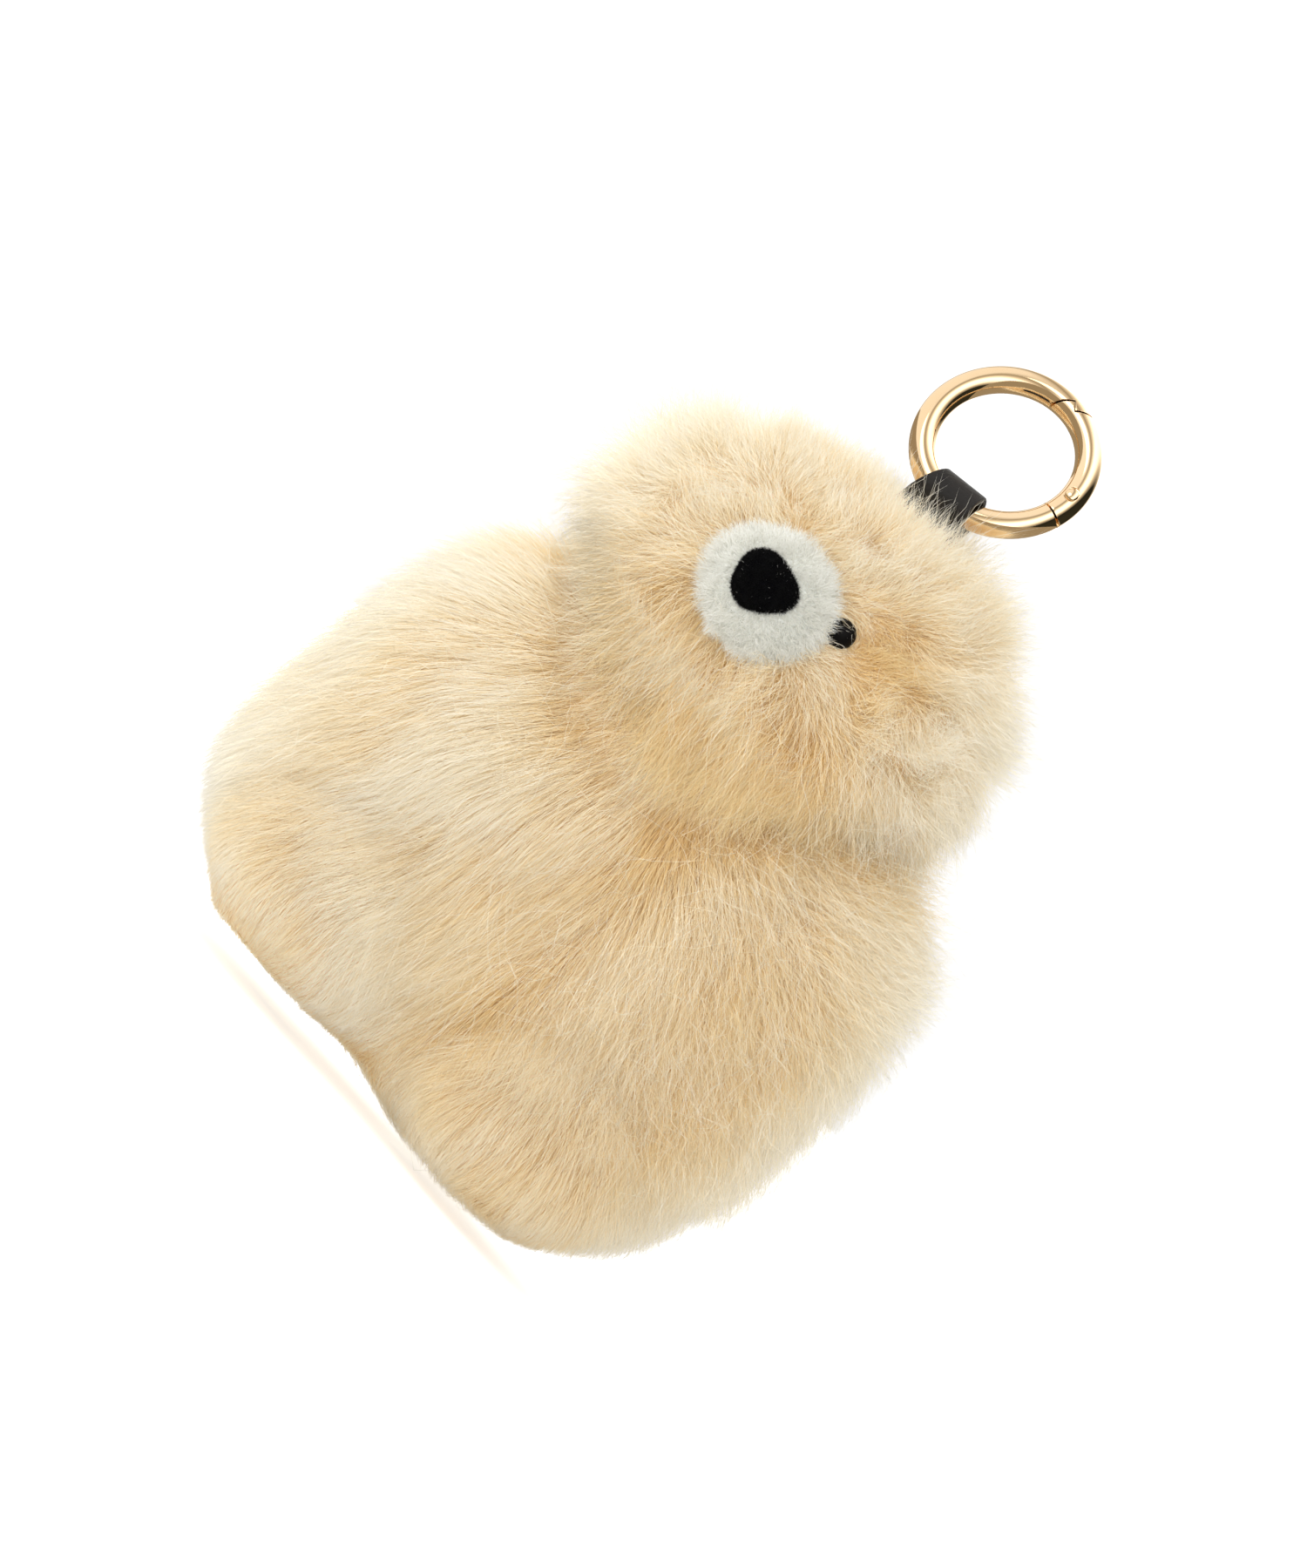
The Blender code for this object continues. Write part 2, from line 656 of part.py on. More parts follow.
def ring_matrix():
    """The ring's frame: +X along the axis it is tilted about, +Z towards the front."""
    lean = TILT_AXIS_ANGLE
    first = Vector((cos(lean), 0, sin(lean)))
    rise = Vector((-sin(lean), 0, cos(lean)))
    second = rise * cos(RING_TILT) + Vector((0, 1, 0)) * sin(RING_TILT)
    turn = Matrix((first, second, first.cross(second))).transposed().to_4x4()
    return Matrix.Translation(RING_CENTRE) @ turn


def strap_matrix(ring):
    """The strap's frame: origin on the wire's centre line, +X along the wire, +Y to the back."""
    place = ring @ Vector((*ring_point(STRAP_AT), 0))
    wire = ring.to_3x3() @ Vector((-sin(STRAP_AT), cos(STRAP_AT), 0))
    back = Vector((0, 0, 1)).cross(wire).normalized()
    turn = Matrix((wire, back, wire.cross(back))).transposed().to_4x4()
    return Matrix.Translation(place) @ turn


clear_scene()
PARTS = new_collection("plush_keychain")
CUTTERS = new_collection("cutters")
RING = frame_empty("ring_frame", ring_matrix())
GATE = frame_empty("gate_frame", Matrix.Translation((*ring_point(PIVOT_AT), 0)), RING)
STRAP = frame_empty("strap_frame", strap_matrix(ring_matrix()))
HEAD = frame_empty("head_frame", Matrix.Translation(HEAD_CENTRE) @ Matrix.Rotation(HEAD_YAW, 4, "Z"))
bpy.context.view_layer.update()

build_body()
build_legs()
build_head()
build_face()
build_neck_thread()
build_strap()
build_ring()
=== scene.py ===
"""Plush keychain: a long-pile bear with a white muzzle, hung by a leather strap from a sprung gate ring."""

import json
from math import acos, atan2, cos, pi, radians, sin, sqrt
from types import SimpleNamespace

import bmesh
import bpy
import numpy as np
from mathutils import Matrix, Vector
from mathutils.kdtree import KDTree


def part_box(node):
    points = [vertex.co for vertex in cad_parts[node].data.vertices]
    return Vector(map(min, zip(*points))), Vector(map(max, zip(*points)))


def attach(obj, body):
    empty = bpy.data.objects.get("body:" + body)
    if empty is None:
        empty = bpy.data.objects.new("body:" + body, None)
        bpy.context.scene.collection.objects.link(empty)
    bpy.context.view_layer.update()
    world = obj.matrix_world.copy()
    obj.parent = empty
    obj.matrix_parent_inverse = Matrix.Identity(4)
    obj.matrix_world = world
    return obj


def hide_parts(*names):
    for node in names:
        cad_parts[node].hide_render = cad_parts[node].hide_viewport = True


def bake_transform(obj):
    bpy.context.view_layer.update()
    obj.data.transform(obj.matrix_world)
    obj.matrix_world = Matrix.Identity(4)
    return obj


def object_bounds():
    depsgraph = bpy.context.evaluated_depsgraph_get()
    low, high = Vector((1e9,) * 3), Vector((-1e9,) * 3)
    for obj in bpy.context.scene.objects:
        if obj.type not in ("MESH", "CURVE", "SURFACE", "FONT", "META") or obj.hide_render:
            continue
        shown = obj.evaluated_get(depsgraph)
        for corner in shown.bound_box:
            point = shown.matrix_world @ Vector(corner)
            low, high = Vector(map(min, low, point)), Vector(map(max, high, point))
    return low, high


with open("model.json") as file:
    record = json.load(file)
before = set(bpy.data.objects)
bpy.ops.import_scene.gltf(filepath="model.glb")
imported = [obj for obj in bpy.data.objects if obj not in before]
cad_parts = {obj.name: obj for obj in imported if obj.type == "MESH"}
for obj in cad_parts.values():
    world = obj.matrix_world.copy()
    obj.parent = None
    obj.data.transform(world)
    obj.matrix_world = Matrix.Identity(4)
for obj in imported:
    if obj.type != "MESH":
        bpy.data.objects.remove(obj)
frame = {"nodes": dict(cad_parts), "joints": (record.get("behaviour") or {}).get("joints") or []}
CAD_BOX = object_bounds()

MM = 0.001
TINY = 1e-9
UP = np.array((0.0, 0.0, 1.0))

# Ring
WIRE_R = 2.5 * MM
SEAM_AT = radians(-52.2)
LATCH_AT = radians(40.2)
LATCH_STEP = 1.1 * MM
SEAM_LINE = 0.38 * MM
LATCH_LINE = 0.36 * MM
RIVET_HEAD_R = 1.25 * MM
RIVET_SHANK_R = 0.75 * MM
RIVET_DOME = 0.55 * MM
RIVET_SEAT = 2.2 * MM
RIVET_ROOM = 0.28 * MM
METAL_EDGE = 0.12 * MM

# Strap
LEATHER = 1.1 * MM
LOOP_R = 3.7 * MM
STRAP_HALF = 4.3 * MM
STRAP_FLARE_LEFT = 0.44
STRAP_FLARE_RIGHT = 0.05
STRAP_EDGE = 0.28 * MM
STRAP_GAP = 0.3 * MM
PINCH_Z = -6.6 * MM
STRAP_END_Z = -15.0 * MM

# Soft forms: half-sizes, and centres where no box gives them
BODY_HALF_HEIGHT = 45 * MM
LEG_RADII = (21 * MM, 24 * MM, 18 * MM)
LEG_CENTRE = (26 * MM, -12 * MM, 14 * MM)
MUZZLE_RADII = (12.3 * MM, 11.5 * MM, 10.7 * MM)
NECK_GAP = 2.0 * MM
SEAT_Z = 0.2 * MM

# Nose and eyes: the nose is off the muzzle's middle, and its rows are (share of its outline, height in mm)
NOSE_HALF = (5.8 * MM, 5.1 * MM)
NOSE_SHIFT = 0.5 * MM
NOSE_LIFT = 0.8 * MM
NOSE_TURN = 0.23
NOSE_ROWS = ((1.0, -0.6), (1.04, 0.5), (1.0, 1.3), (0.94, 1.65), (0.8, 1.8), (0.55, 1.85), (0.28, 1.85))
EYE_R = 2.8 * MM
EYE_DEPTHS = (("left", 2.6 * MM), ("right", -0.6 * MM))

# Fur: the hanging bib under the face, and the two lower lobes as (middle, half-width, lowest height)
BIB_X = -9.0 * MM
BIB_LOW = 68.0 * MM
BIB_CURVE = 0.019
LOBES = ((-22.0 * MM, 43.0 * MM, -2.3 * MM), (23.0 * MM, 39.0 * MM, -5.4 * MM))
LOBE_DEPTH = 90.0 * MM
LOBE_TOP = 23.0 * MM
DEEPEST_COVER = 13.0 * MM
SHORTEST_CUT = 0.25

# Hairs: counts at full fur, and the UV map that holds each hair's tint and its root-to-tip share
HEAD_HAIRS = 50000
BODY_HAIRS = 78000
LEG_HAIRS = 11000
MUZZLE_HAIRS = 34000
NOSE_HAIRS = 9000
FACE_HAIR_R = 0.040 * MM
SIDES = 3
FUR_UV = "OFBake"
FACES_A_PIECE = 190000
TINT_STEP = 0.02
FUR_SHARE = 1.0
THICK = 1.0

# Each layer of fur: name, stations along a hair, hair radius, share of full length, looseness, share of count
LAYERS = (
    ("under", 3, 0.060 * MM, 0.72, 0.0, 0.85),
    ("over", 4, 0.045 * MM, 1.0, 0.0, 1.25),
    ("wisp", 6, 0.046 * MM, 1.0, 1.0, 0.16),
)

# Camera
FRAME_HEIGHT = 280 * MM
CAMERA_DISTANCE = 1.2
CAMERA_ROLL = radians(48.0)
AIM = Vector((-3.0 * MM, 0.0, 71.5 * MM))
SENSOR = 24.0

# Light: colours from the studio's left to its right, for soft light and for what the metal mirrors
SOFT_BANDS = [
    (0.0, (0.54, 0.55, 0.56)), (0.46, (1.38, 1.38, 1.36)),
    (0.74, (0.40, 0.40, 0.40)), (1.0, (0.04, 0.04, 0.04))]
MIRROR_BANDS = [
    (0.0, (1.0, 0.98, 0.94)), (0.22, (0.95, 0.93, 0.90)), (0.30, (0.35, 0.31, 0.24)),
    (0.38, (0.80, 0.76, 0.68)), (0.50, (2.0, 2.0, 2.0)), (0.64, (1.7, 1.7, 1.7)),
    (0.74, (0.70, 0.66, 0.58)), (0.84, (0.02, 0.02, 0.015)), (1.0, (0.03, 0.03, 0.02))]
SOFT_LIGHT = 1.45
MIRROR_LIGHT = 1.1
BACKDROP_LIGHT = 1.1
WHITE = (1.0, 1.0, 1.0, 1.0)
FLOOR_Z = -6.0 * MM
FLOOR_COLOUR = (0.93, 0.93, 0.93, 1.0)
FLOOR_MIRRORED = (0.36, 0.31, 0.23, 1.0)
FLOOR_GLOW = 0.18
FLOOR_GLOW_SEEN = 0.42


def joint(name):
    return next(j for j in frame["joints"] if j["name"] == name)


def joined_box(*nodes):
    boxes = [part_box(n) for n in nodes]
    low = Vector([min(b[0][k] for b in boxes) for k in range(3)])
    high = Vector([max(b[1][k] for b in boxes) for k in range(3)])
    return low, high


def unit(vectors):
    return vectors / np.maximum(np.linalg.norm(vectors, axis=-1, keepdims=True), 1e-12)


def smooth(value, low, high):
    """0 below low, 1 above high, and a smooth rise between."""
    t = np.clip((value - low) / (high - low), 0, 1)
    return t * t * (3 - 2 * t)


def waves(points, size, seed):
    """A smooth random field from -1 to 1 whose bumps are about as wide as size."""
    rng = np.random.default_rng(seed)
    total = np.zeros(len(points))
    count = 14
    for _ in range(count):
        way = unit(rng.normal(size=3)) * rng.uniform(0.6, 1.5)
        total += np.sin(points @ way * (2 * pi / (2 * size)) + rng.uniform(0, 2 * pi))
    return np.clip(total / sqrt(count), -1, 1)


# Forms: the soft bodies under the fur

class Form:
    """A squared ellipsoid: its centre, its turn about Z, its radii and how square it is."""

    def __init__(self, centre, yaw, radii, square=2.0, across=2.0):
        self.centre = np.array(centre)
        self.turn = np.array(Matrix.Rotation(yaw, 3, "Z"))
        self.radii = np.array(radii)
        self.square = square
        self.across = across

    def local(self, points):
        return (points - self.centre) @ self.turn

    def world(self, points):
        return points @ self.turn.T + self.centre

    def level(self, points, grow=0.0):
        """1 on the surface, less inside, more outside."""
        share = np.abs(self.local(points)) / (self.radii + grow)
        flat = (share[:, 0] ** self.across + share[:, 1] ** self.across) ** (self.square / self.across)
        return (flat + share[:, 2] ** self.square) ** (1 / self.square)

    def cover(self, points, room):
        """Moves points just inside the grown form straight out through its front or back."""
        local = self.local(points)
        wide = self.radii + room
        share = np.abs(local) / wide
        left = np.maximum(1 - share[:, 2] ** self.square, 0) ** (self.across / self.square)
        depth = np.maximum(left - share[:, 0] ** self.across, 0) ** (1 / self.across)
        push = np.maximum(depth - share[:, 1], 0) * wide[..., 1]
        push[push > DEEPEST_COVER] = 0
        local[:, 1] += np.where(local[:, 1] < 0, -push, push)
        return self.world(local)

    def mesh(self, name, segments=96, rings=48):
        obj = ball(name, segments, rings)
        points = self.world(read_points(obj.data) * self.radii)
        level = self.level(points)[:, None]
        write_points(obj.data, self.centre + (points - self.centre) / level)
        return obj


def read_rows(items, field, kind=np.float32):
    """One row of three for each of a mesh's vertices or triangles."""
    flat = np.empty(len(items) * 3, kind)
    items.foreach_get(field, flat)
    return flat.reshape(-1, 3)


def read_points(mesh):
    return read_rows(mesh.vertices, "co").astype(float)


def write_points(mesh, points):
    mesh.vertices.foreach_set("co", points.astype(np.float32).ravel())
    mesh.update()


def place(mesh, name):
    obj = bpy.data.objects.new(name, mesh)
    bpy.context.scene.collection.objects.link(obj)
    return obj


def place_shape(shape, name):
    """Makes a smooth object of a bmesh."""
    mesh = bpy.data.meshes.new(name)
    shape.to_mesh(mesh)
    shape.free()
    mesh.shade_smooth()
    return place(mesh, name)


def ball(name, segments, rings):
    """A unit ball whose corners and faces always come in the same order, as hairs are placed by it."""
    points = [(0.0, 0.0, -1.0)]
    for r in range(1, rings):
        tilt = pi * r / rings
        for k in range(segments):
            turn = 2 * pi * k / segments
            points.append((sin(tilt) * cos(turn), sin(tilt) * sin(turn), -cos(tilt)))
    points.append((0.0, 0.0, 1.0))
    top = len(points) - 1
    faces = []
    for k in range(segments):
        n = (k + 1) % segments
        faces.append((0, 1 + n, 1 + k))
        for low in range(1, top - segments, segments):
            high = low + segments
            faces.append((low + k, low + n, high + n, high + k))
        faces.append((top - segments + k, top - segments + n, top))
    mesh = bpy.data.meshes.new(name)
    mesh.from_pydata(points, [], faces)
    mesh.shade_smooth()
    return place(mesh, name)


def head_form():
    """The head's ellipsoid, recovered from its box and its yaw."""
    low, high = joined_box("head_skin_front", "head_skin_back")
    axis = joint("strap_flex")["axis"]
    yaw = atan2(axis[1], axis[0])
    half = (high - low) / 2
    c2, s2 = cos(yaw) ** 2, sin(yaw) ** 2
    wide = sqrt((half.x ** 2 * c2 - half.y ** 2 * s2) / (c2 - s2))
    deep = sqrt((half.y ** 2 * c2 - half.x ** 2 * s2) / (c2 - s2))
    return Form((low + high) / 2, yaw, (wide, deep, half.z)), yaw


def body_form():
    low, high = joined_box("body_skin_front", "body_skin_back")
    half = (high - low) / 2
    middle = low.z + BODY_HALF_HEIGHT - 1 * MM
    centre = Vector(((low.x + high.x) / 2, (low.y + high.y) / 2, middle))
    return Form(centre, 0.0, (half.x, half.y, BODY_HALF_HEIGHT), 3.5, 2.4)


def leg_form(side):
    return Form((side * LEG_CENTRE[0], *LEG_CENTRE[1:]), 0.0, LEG_RADII)


HEAD, HEAD_YAW = head_form()
BODY = body_form()
LEGS = {"left": leg_form(-1), "right": leg_form(1)}
NECK = np.array(joint("neck_turn")["pos_m"])


def muzzle_form():
    """An ellipsoid straight ahead of the head's centre, placed by the muzzle's front and height."""
    low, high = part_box("muzzle_patch")
    reach = sqrt((MUZZLE_RADII[0] * sin(HEAD_YAW)) ** 2 + (MUZZLE_RADII[1] * cos(HEAD_YAW)) ** 2)
    ahead = (HEAD.centre[1] - low.y - reach) / cos(HEAD_YAW)
    lift = (low.z + high.z) / 2 - HEAD.centre[2]
    return Form(HEAD.world(np.array((0.0, -ahead, lift))), HEAD_YAW, MUZZLE_RADII)


def eye_spot(word):
    """The point on the head's surface where an eye sits."""
    low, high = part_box("eye_" + word)
    middle = np.array([(low + high) / 2])
    return HEAD.world(HEAD.local(middle) / HEAD.level(middle)[:, None])[0]


def fur_limits():
    """How far out the fur may reach: the CAD box and a little more."""
    low, high = (np.array(corner) for corner in CAD_BOX)
    room = 0.03 * (high - low) + 9 * MM
    return low - room, high + room


FUR_LOW, FUR_HIGH = fur_limits()
MUZZLE = muzzle_form()
EYE = {word: eye_spot(word) for word in ("left", "right")}


# Materials

def new_material(name):
    material = bpy.data.materials.new(name)
    material.use_nodes = True
    return material, material.node_tree.nodes, material.node_tree.links


def fill(node, values):
    for socket, value in values.items():
        node.inputs[socket].default_value = value


def wire(links, source, out, target, into):
    links.new(source.outputs[out], target.inputs[into])


def ramp(nodes, stops):
    node = nodes.new("ShaderNodeValToRGB")
    while len(node.color_ramp.elements) < len(stops):
        node.color_ramp.elements.new(0.5)
    for element, (at, colour) in zip(node.color_ramp.elements, stops):
        element.position = at
        element.color = (*colour, 1.0)
    return node


def fur_material(name, deep, pale, glow):
    """Hair coloured from root to tip, between a deep and a pale run of colours.

    The glow stands in for the light that fine pale hairs pass on to each other.
    """
    material, nodes, links = new_material(name)
    shader = nodes["Principled BSDF"]
    fill(shader, {"Roughness": 0.8, "Specular IOR Level": 0.1, "Emission Strength": glow})
    where = nodes.new("ShaderNodeUVMap")
    where.uv_map = FUR_UV
    split = nodes.new("ShaderNodeSeparateXYZ")
    wire(links, where, "UV", split, 0)
    low = ramp(nodes, deep)
    high = ramp(nodes, pale)
    wire(links, split, "Y", low, "Fac")
    wire(links, split, "Y", high, "Fac")
    mix = nodes.new("ShaderNodeMix")
    mix.data_type = "RGBA"
    wire(links, split, "X", mix, "Factor")
    wire(links, low, "Color", mix, "A")
    wire(links, high, "Color", mix, "B")
    wire(links, mix, "Result", shader, "Base Color")
    wire(links, mix, "Result", shader, "Emission Color")
    return material


def noise(nodes, links, scale, detail):
    """A noise texture in object space."""
    where = nodes.new("ShaderNodeTexCoord")
    node = nodes.new("ShaderNodeTexNoise")
    fill(node, {"Scale": scale, "Detail": detail})
    wire(links, where, "Object", node, "Vector")
    return node


def surface(name, dark, light, scale, roughness, bump, grain_scale, metallic=0.0, gloss=0.5):
    """Colour and roughness (least, most) follow one noise, and bump (strength, distance) a finer one."""
    material, nodes, links = new_material(name)
    shader = nodes["Principled BSDF"]
    fill(shader, {"Metallic": metallic, "Specular IOR Level": gloss})
    patch = noise(nodes, links, scale, 4.0)
    colours = ramp(nodes, [(0.3, dark), (0.7, light)])
    wire(links, patch, "Fac", colours, "Fac")
    wire(links, colours, "Color", shader, "Base Color")
    rough = nodes.new("ShaderNodeMapRange")
    fill(rough, {"To Min": roughness[0], "To Max": roughness[1]})
    wire(links, patch, "Fac", rough, "Value")
    wire(links, rough, "Result", shader, "Roughness")
    grain = noise(nodes, links, grain_scale, 6.0)
    relief = nodes.new("ShaderNodeBump")
    fill(relief, {"Strength": bump[0], "Distance": bump[1]})
    wire(links, grain, "Fac", relief, "Height")
    wire(links, relief, "Normal", shader, "Normal")
    return material


CREAM_DEEP = [(0.0, (0.83, 0.56, 0.22)), (0.5, (0.89, 0.675, 0.34)), (1.0, (0.92, 0.765, 0.46))]
CREAM_PALE = [(0.0, (0.93, 0.79, 0.53)), (0.5, (0.96, 0.885, 0.72)), (1.0, (0.97, 0.94, 0.85))]
WHITE_DEEP = [(0.0, (0.80, 0.79, 0.71)), (1.0, (0.89, 0.88, 0.82))]
WHITE_PALE = [(0.0, (0.87, 0.86, 0.79)), (1.0, (0.95, 0.95, 0.91))]
BLACK_DEEP = [(0.0, (0.002, 0.002, 0.002)), (1.0, (0.004, 0.004, 0.004))]
BLACK_PALE = [(0.0, (0.003, 0.003, 0.003)), (1.0, (0.008, 0.007, 0.008))]

FUR = fur_material("cream_fur", CREAM_DEEP, CREAM_PALE, 0.13)
MUZZLE_FUR = fur_material("muzzle_fur", WHITE_DEEP, WHITE_PALE, 0.12)
NOSE_FUZZ = fur_material("nose_fuzz", BLACK_DEEP, BLACK_PALE, 0.0)
UNDERCOAT = surface("undercoat", (0.86, 0.62, 0.33), (0.92, 0.74, 0.48), 90, (0.85, 1.0), (0.8, 0.0012), 900)
MUZZLE_SKIN = surface("muzzle_skin", (0.78, 0.79, 0.74), (0.88, 0.90, 0.86),
    200, (0.85, 1.0), (0.6, 0.0006), 1500)
FELT = surface("black_felt", (0.002, 0.002, 0.003), (0.006, 0.006, 0.006),
    700, (0.8, 1.0), (0.9, 0.0004), 2200, gloss=0.03)
LEATHER_SKIN = surface("dark_leather", (0.006, 0.005, 0.005), (0.016, 0.013, 0.011),
    260, (0.40, 0.65), (0.5, 0.0004), 1400, gloss=0.3)
GOLD = surface("pale_gold", (0.92, 0.68, 0.42), (0.97, 0.75, 0.49),
    60, (0.03, 0.10), (0.03, 0.0001), 500, 1.0)
STEEL = surface("spring_steel", (0.50, 0.50, 0.49), (0.66, 0.66, 0.64),
    300, (0.25, 0.45), (0.1, 0.0001), 1800, 1.0)
BEAD = surface("eye_bead", (0.003, 0.003, 0.003), (0.007, 0.006, 0.006),
    200, (0.25, 0.40), (0.02, 0.0001), 600, gloss=0.05)
FIBRE = surface("white_fibre", (0.70, 0.69, 0.65), (0.86, 0.85, 0.81), 150, (0.8, 1.0), (0.9, 0.0010), 700)
THREAD = surface("thread", (0.50, 0.38, 0.24), (0.72, 0.58, 0.40), 900, (0.7, 0.9), (0.8, 0.0002), 3000)
PLASTIC = surface("washer_plastic", (0.45, 0.45, 0.43), (0.58, 0.58, 0.55),
    200, (0.3, 0.5), (0.1, 0.0001), 900)


# Hairs

def scatter(obj, count, rng):
    """Random points on a mesh, even by area, with their smooth normals."""
    mesh = obj.data
    mesh.calc_loop_triangles()
    corners = read_rows(mesh.loop_triangles, "vertices", np.int32)
    points = read_points(mesh)
    normals = read_rows(mesh.vertices, "normal").astype(float)
    a, b, c = (points[corners[:, k]] for k in range(3))
    area = np.linalg.norm(np.cross(b - a, c - a), axis=1)
    pick = rng.choice(len(corners), count, p=area / area.sum())
    u, v = rng.random(count), rng.random(count)
    over = u + v > 1
    u[over], v[over] = 1 - u[over], 1 - v[over]
    share = np.stack((1 - u - v, u, v), 1)[:, :, None]
    root = (points[corners[pick]] * share).sum(1)
    normal = (normals[corners[pick]] * share).sum(1)
    return root, unit(normal)


def along_surface(way, normals):
    """The part of a direction that lies in the surface."""
    return unit(way - normals * (way * normals).sum(1, keepdims=True))


def column(value):
    return np.reshape(value, (-1, 1))


def grow(roots, start, end, length, stations, rng, wild=0.12, frizz=0.03):
    """Hair paths that leave along start and turn towards end. Wild hairs lean, and frizzy hairs kink."""
    count = len(roots)
    path = np.empty((count, stations, 3))
    path[:, 0] = roots
    lean = rng.normal(size=(count, 3)) * column(wild)
    step = column(length) / (stations - 1)
    for k in range(1, stations):
        share = (k - 0.5) / (stations - 1)
        way = start * (1 - share) + end * share + lean + rng.normal(size=(count, 3)) * column(frizz)
        path[:, k] = path[:, k - 1] + unit(way) * step
    return path


def clump(path, guides, pull, power=1.4):
    """Draws hairs towards the nearest of the first few, more towards the tips."""
    tree = KDTree(guides)
    for i in range(guides):
        tree.insert(path[i, 0], i)
    tree.balance()
    nearest = np.array([tree.find(root)[1] for root in path[:, 0]])
    share = np.linspace(0, 1, path.shape[1]) ** power
    strength = (share[None, :] * column(pull))[:, :, None]
    return path + (path[nearest] - path) * strength


def drape(path, form, low, high):
    """Lays hairs over a form instead of through it, closest at the root and furthest at the tip."""
    last = path.shape[1] - 1
    for k in range(1, last + 1):
        path[:, k] = form.cover(path[:, k], low + (high - low) * k / last)
    return path


def hair_points(path, radius):
    """The corners of each hair: rings of three that taper along it, then its tip."""
    count, stations, _ = path.shape
    rings = stations - 1
    along = unit(path[:, 1:] - path[:, :-1])
    helper = np.where(np.abs(along[:, :1, 2:]) < 0.9, UP, np.array((1.0, 0.0, 0.0)))
    flat = unit(np.cross(along[:, 0], along[:, -1]) + 0.05 * np.cross(along[:, 0], helper[:, 0]))
    first = unit(flat[:, None] - along * (along * flat[:, None]).sum(2, keepdims=True))
    second = np.cross(along, first)
    angle = 2 * pi * np.arange(SIDES) / SIDES
    circle = first[:, :, None] * np.cos(angle)[:, None] + second[:, :, None] * np.sin(angle)[:, None]
    taper = 1 - 0.75 * (np.arange(rings) / rings) ** 1.5
    width = column(radius) * taper[None, :]
    body = path[:, :rings, None] + circle * width[:, :, None, None]
    return np.concatenate((body.reshape(count, rings * SIDES, 3), path[:, -1:]), 1)


def hair_faces(rings):
    """One hair's faces: quads along its sides, triangles at its tip and a cap at its root."""
    faces = []
    for r in range(rings - 1):
        for k in range(SIDES):
            n = (k + 1) % SIDES
            faces.append((r * SIDES + k, r * SIDES + n, (r + 1) * SIDES + n, (r + 1) * SIDES + k))
    last = (rings - 1) * SIDES
    faces += [(last + k, last + (k + 1) % SIDES, rings * SIDES) for k in range(SIDES)]
    faces.append((2, 1, 0))
    return faces


def hair_mesh(name, path, radius, tint, material):
    """Closed three-sided hairs, with tint and root-to-tip share in the UV map."""
    count = len(path)
    rings = path.shape[1] - 1
    points = hair_points(path, radius)
    faces = hair_faces(rings)
    pattern = np.array([corner for face in faces for corner in face])
    sizes = [len(face) for face in faces]
    hair_start = np.arange(count) * points.shape[1]
    loops = (hair_start[:, None] + pattern[None]).ravel()
    starts = np.concatenate(([0], np.cumsum(np.tile(sizes, count))[:-1]))

    mesh = bpy.data.meshes.new(name)
    mesh.vertices.add(count * points.shape[1])
    mesh.vertices.foreach_set("co", points.astype(np.float32).ravel())
    mesh.loops.add(len(loops))
    mesh.loops.foreach_set("vertex_index", loops.astype(np.int32))
    mesh.polygons.add(len(starts))
    mesh.polygons.foreach_set("loop_start", starts.astype(np.int32))
    mesh.update(calc_edges=True)
    mesh.shade_smooth()

    tint = np.clip(tint, 2 * TINT_STEP, 1 - 2 * TINT_STEP)
    spread = np.append(np.tile(np.arange(SIDES) - 1, rings), 0) * TINT_STEP
    rise = np.append(np.repeat(np.arange(rings), SIDES), rings) / rings
    u = (tint[:, None] + spread[None]).ravel()
    v = np.tile(rise, count)
    layer = mesh.uv_layers.new(name=FUR_UV)
    layer.data.foreach_set("uv", np.stack((u[loops], v[loops]), 1).astype(np.float32).ravel())
    mesh.materials.append(material)
    return place(mesh, name)


def coat(name, path, radius, tint, material, centre):
    """Splits a coat into wedges round its centre, each small enough to export whole."""
    stations = path.shape[1]
    tris = 6 * (stations - 2) + 4
    wedges = int(np.ceil(len(path) * tris / FACES_A_PIECE))
    bearing = np.arctan2(path[:, 0, 1] - centre[1], path[:, 0, 0] - centre[0])
    order = np.argsort(bearing, kind="stable")
    radius = np.broadcast_to(radius, len(path))
    made = []
    for i, group in enumerate(np.array_split(order, wedges)):
        title = f"{name}_{i + 1:02d}"
        made.append(hair_mesh(title, path[group], radius[group], tint[group], material))
    return made


# Fur: where it grows, how long it is and which way it lies

def swirl(points, size, seed):
    """A smooth random direction field."""
    return np.stack([waves(points, size, seed + k) for k in range(3)], 1)


def varied(roots, patchy, size, seed, ragged, rng):
    """A change to a hair's length or tint: smooth patches, and a random part of its own."""
    return patchy * waves(roots, size, seed) + ragged * rng.normal(size=len(roots))


def near(points, centre, radius):
    """1 at a point, falling to 0 at a radius."""
    return 1 - smooth(np.linalg.norm(points - centre, axis=1), 0, radius)


def front_point(form, x, z):
    """The point of a form's front surface at a place across and up."""
    far, close = form.centre[1] - 2 * max(form.radii), form.centre[1]
    for _ in range(40):
        middle = (far + close) / 2
        outside = form.level(np.array([(x, middle, z)]))[0] > 1
        far, close = (middle, close) if outside else (far, middle)
    return np.array((x, close, z))


HOLLOW = front_point(HEAD, HEAD.centre[0] + 14 * MM, HEAD.centre[2] + 10 * MM)


def valley_offset(roots):
    """How far a point lies to the right of the line that parts the body's two lobes of fur."""
    share = np.clip((NECK[2] - roots[:, 2]) / NECK[2], 0, 1)
    line = (4 - 5 * share + 8 * np.sin(pi * share)) * MM
    return roots[:, 0] - line


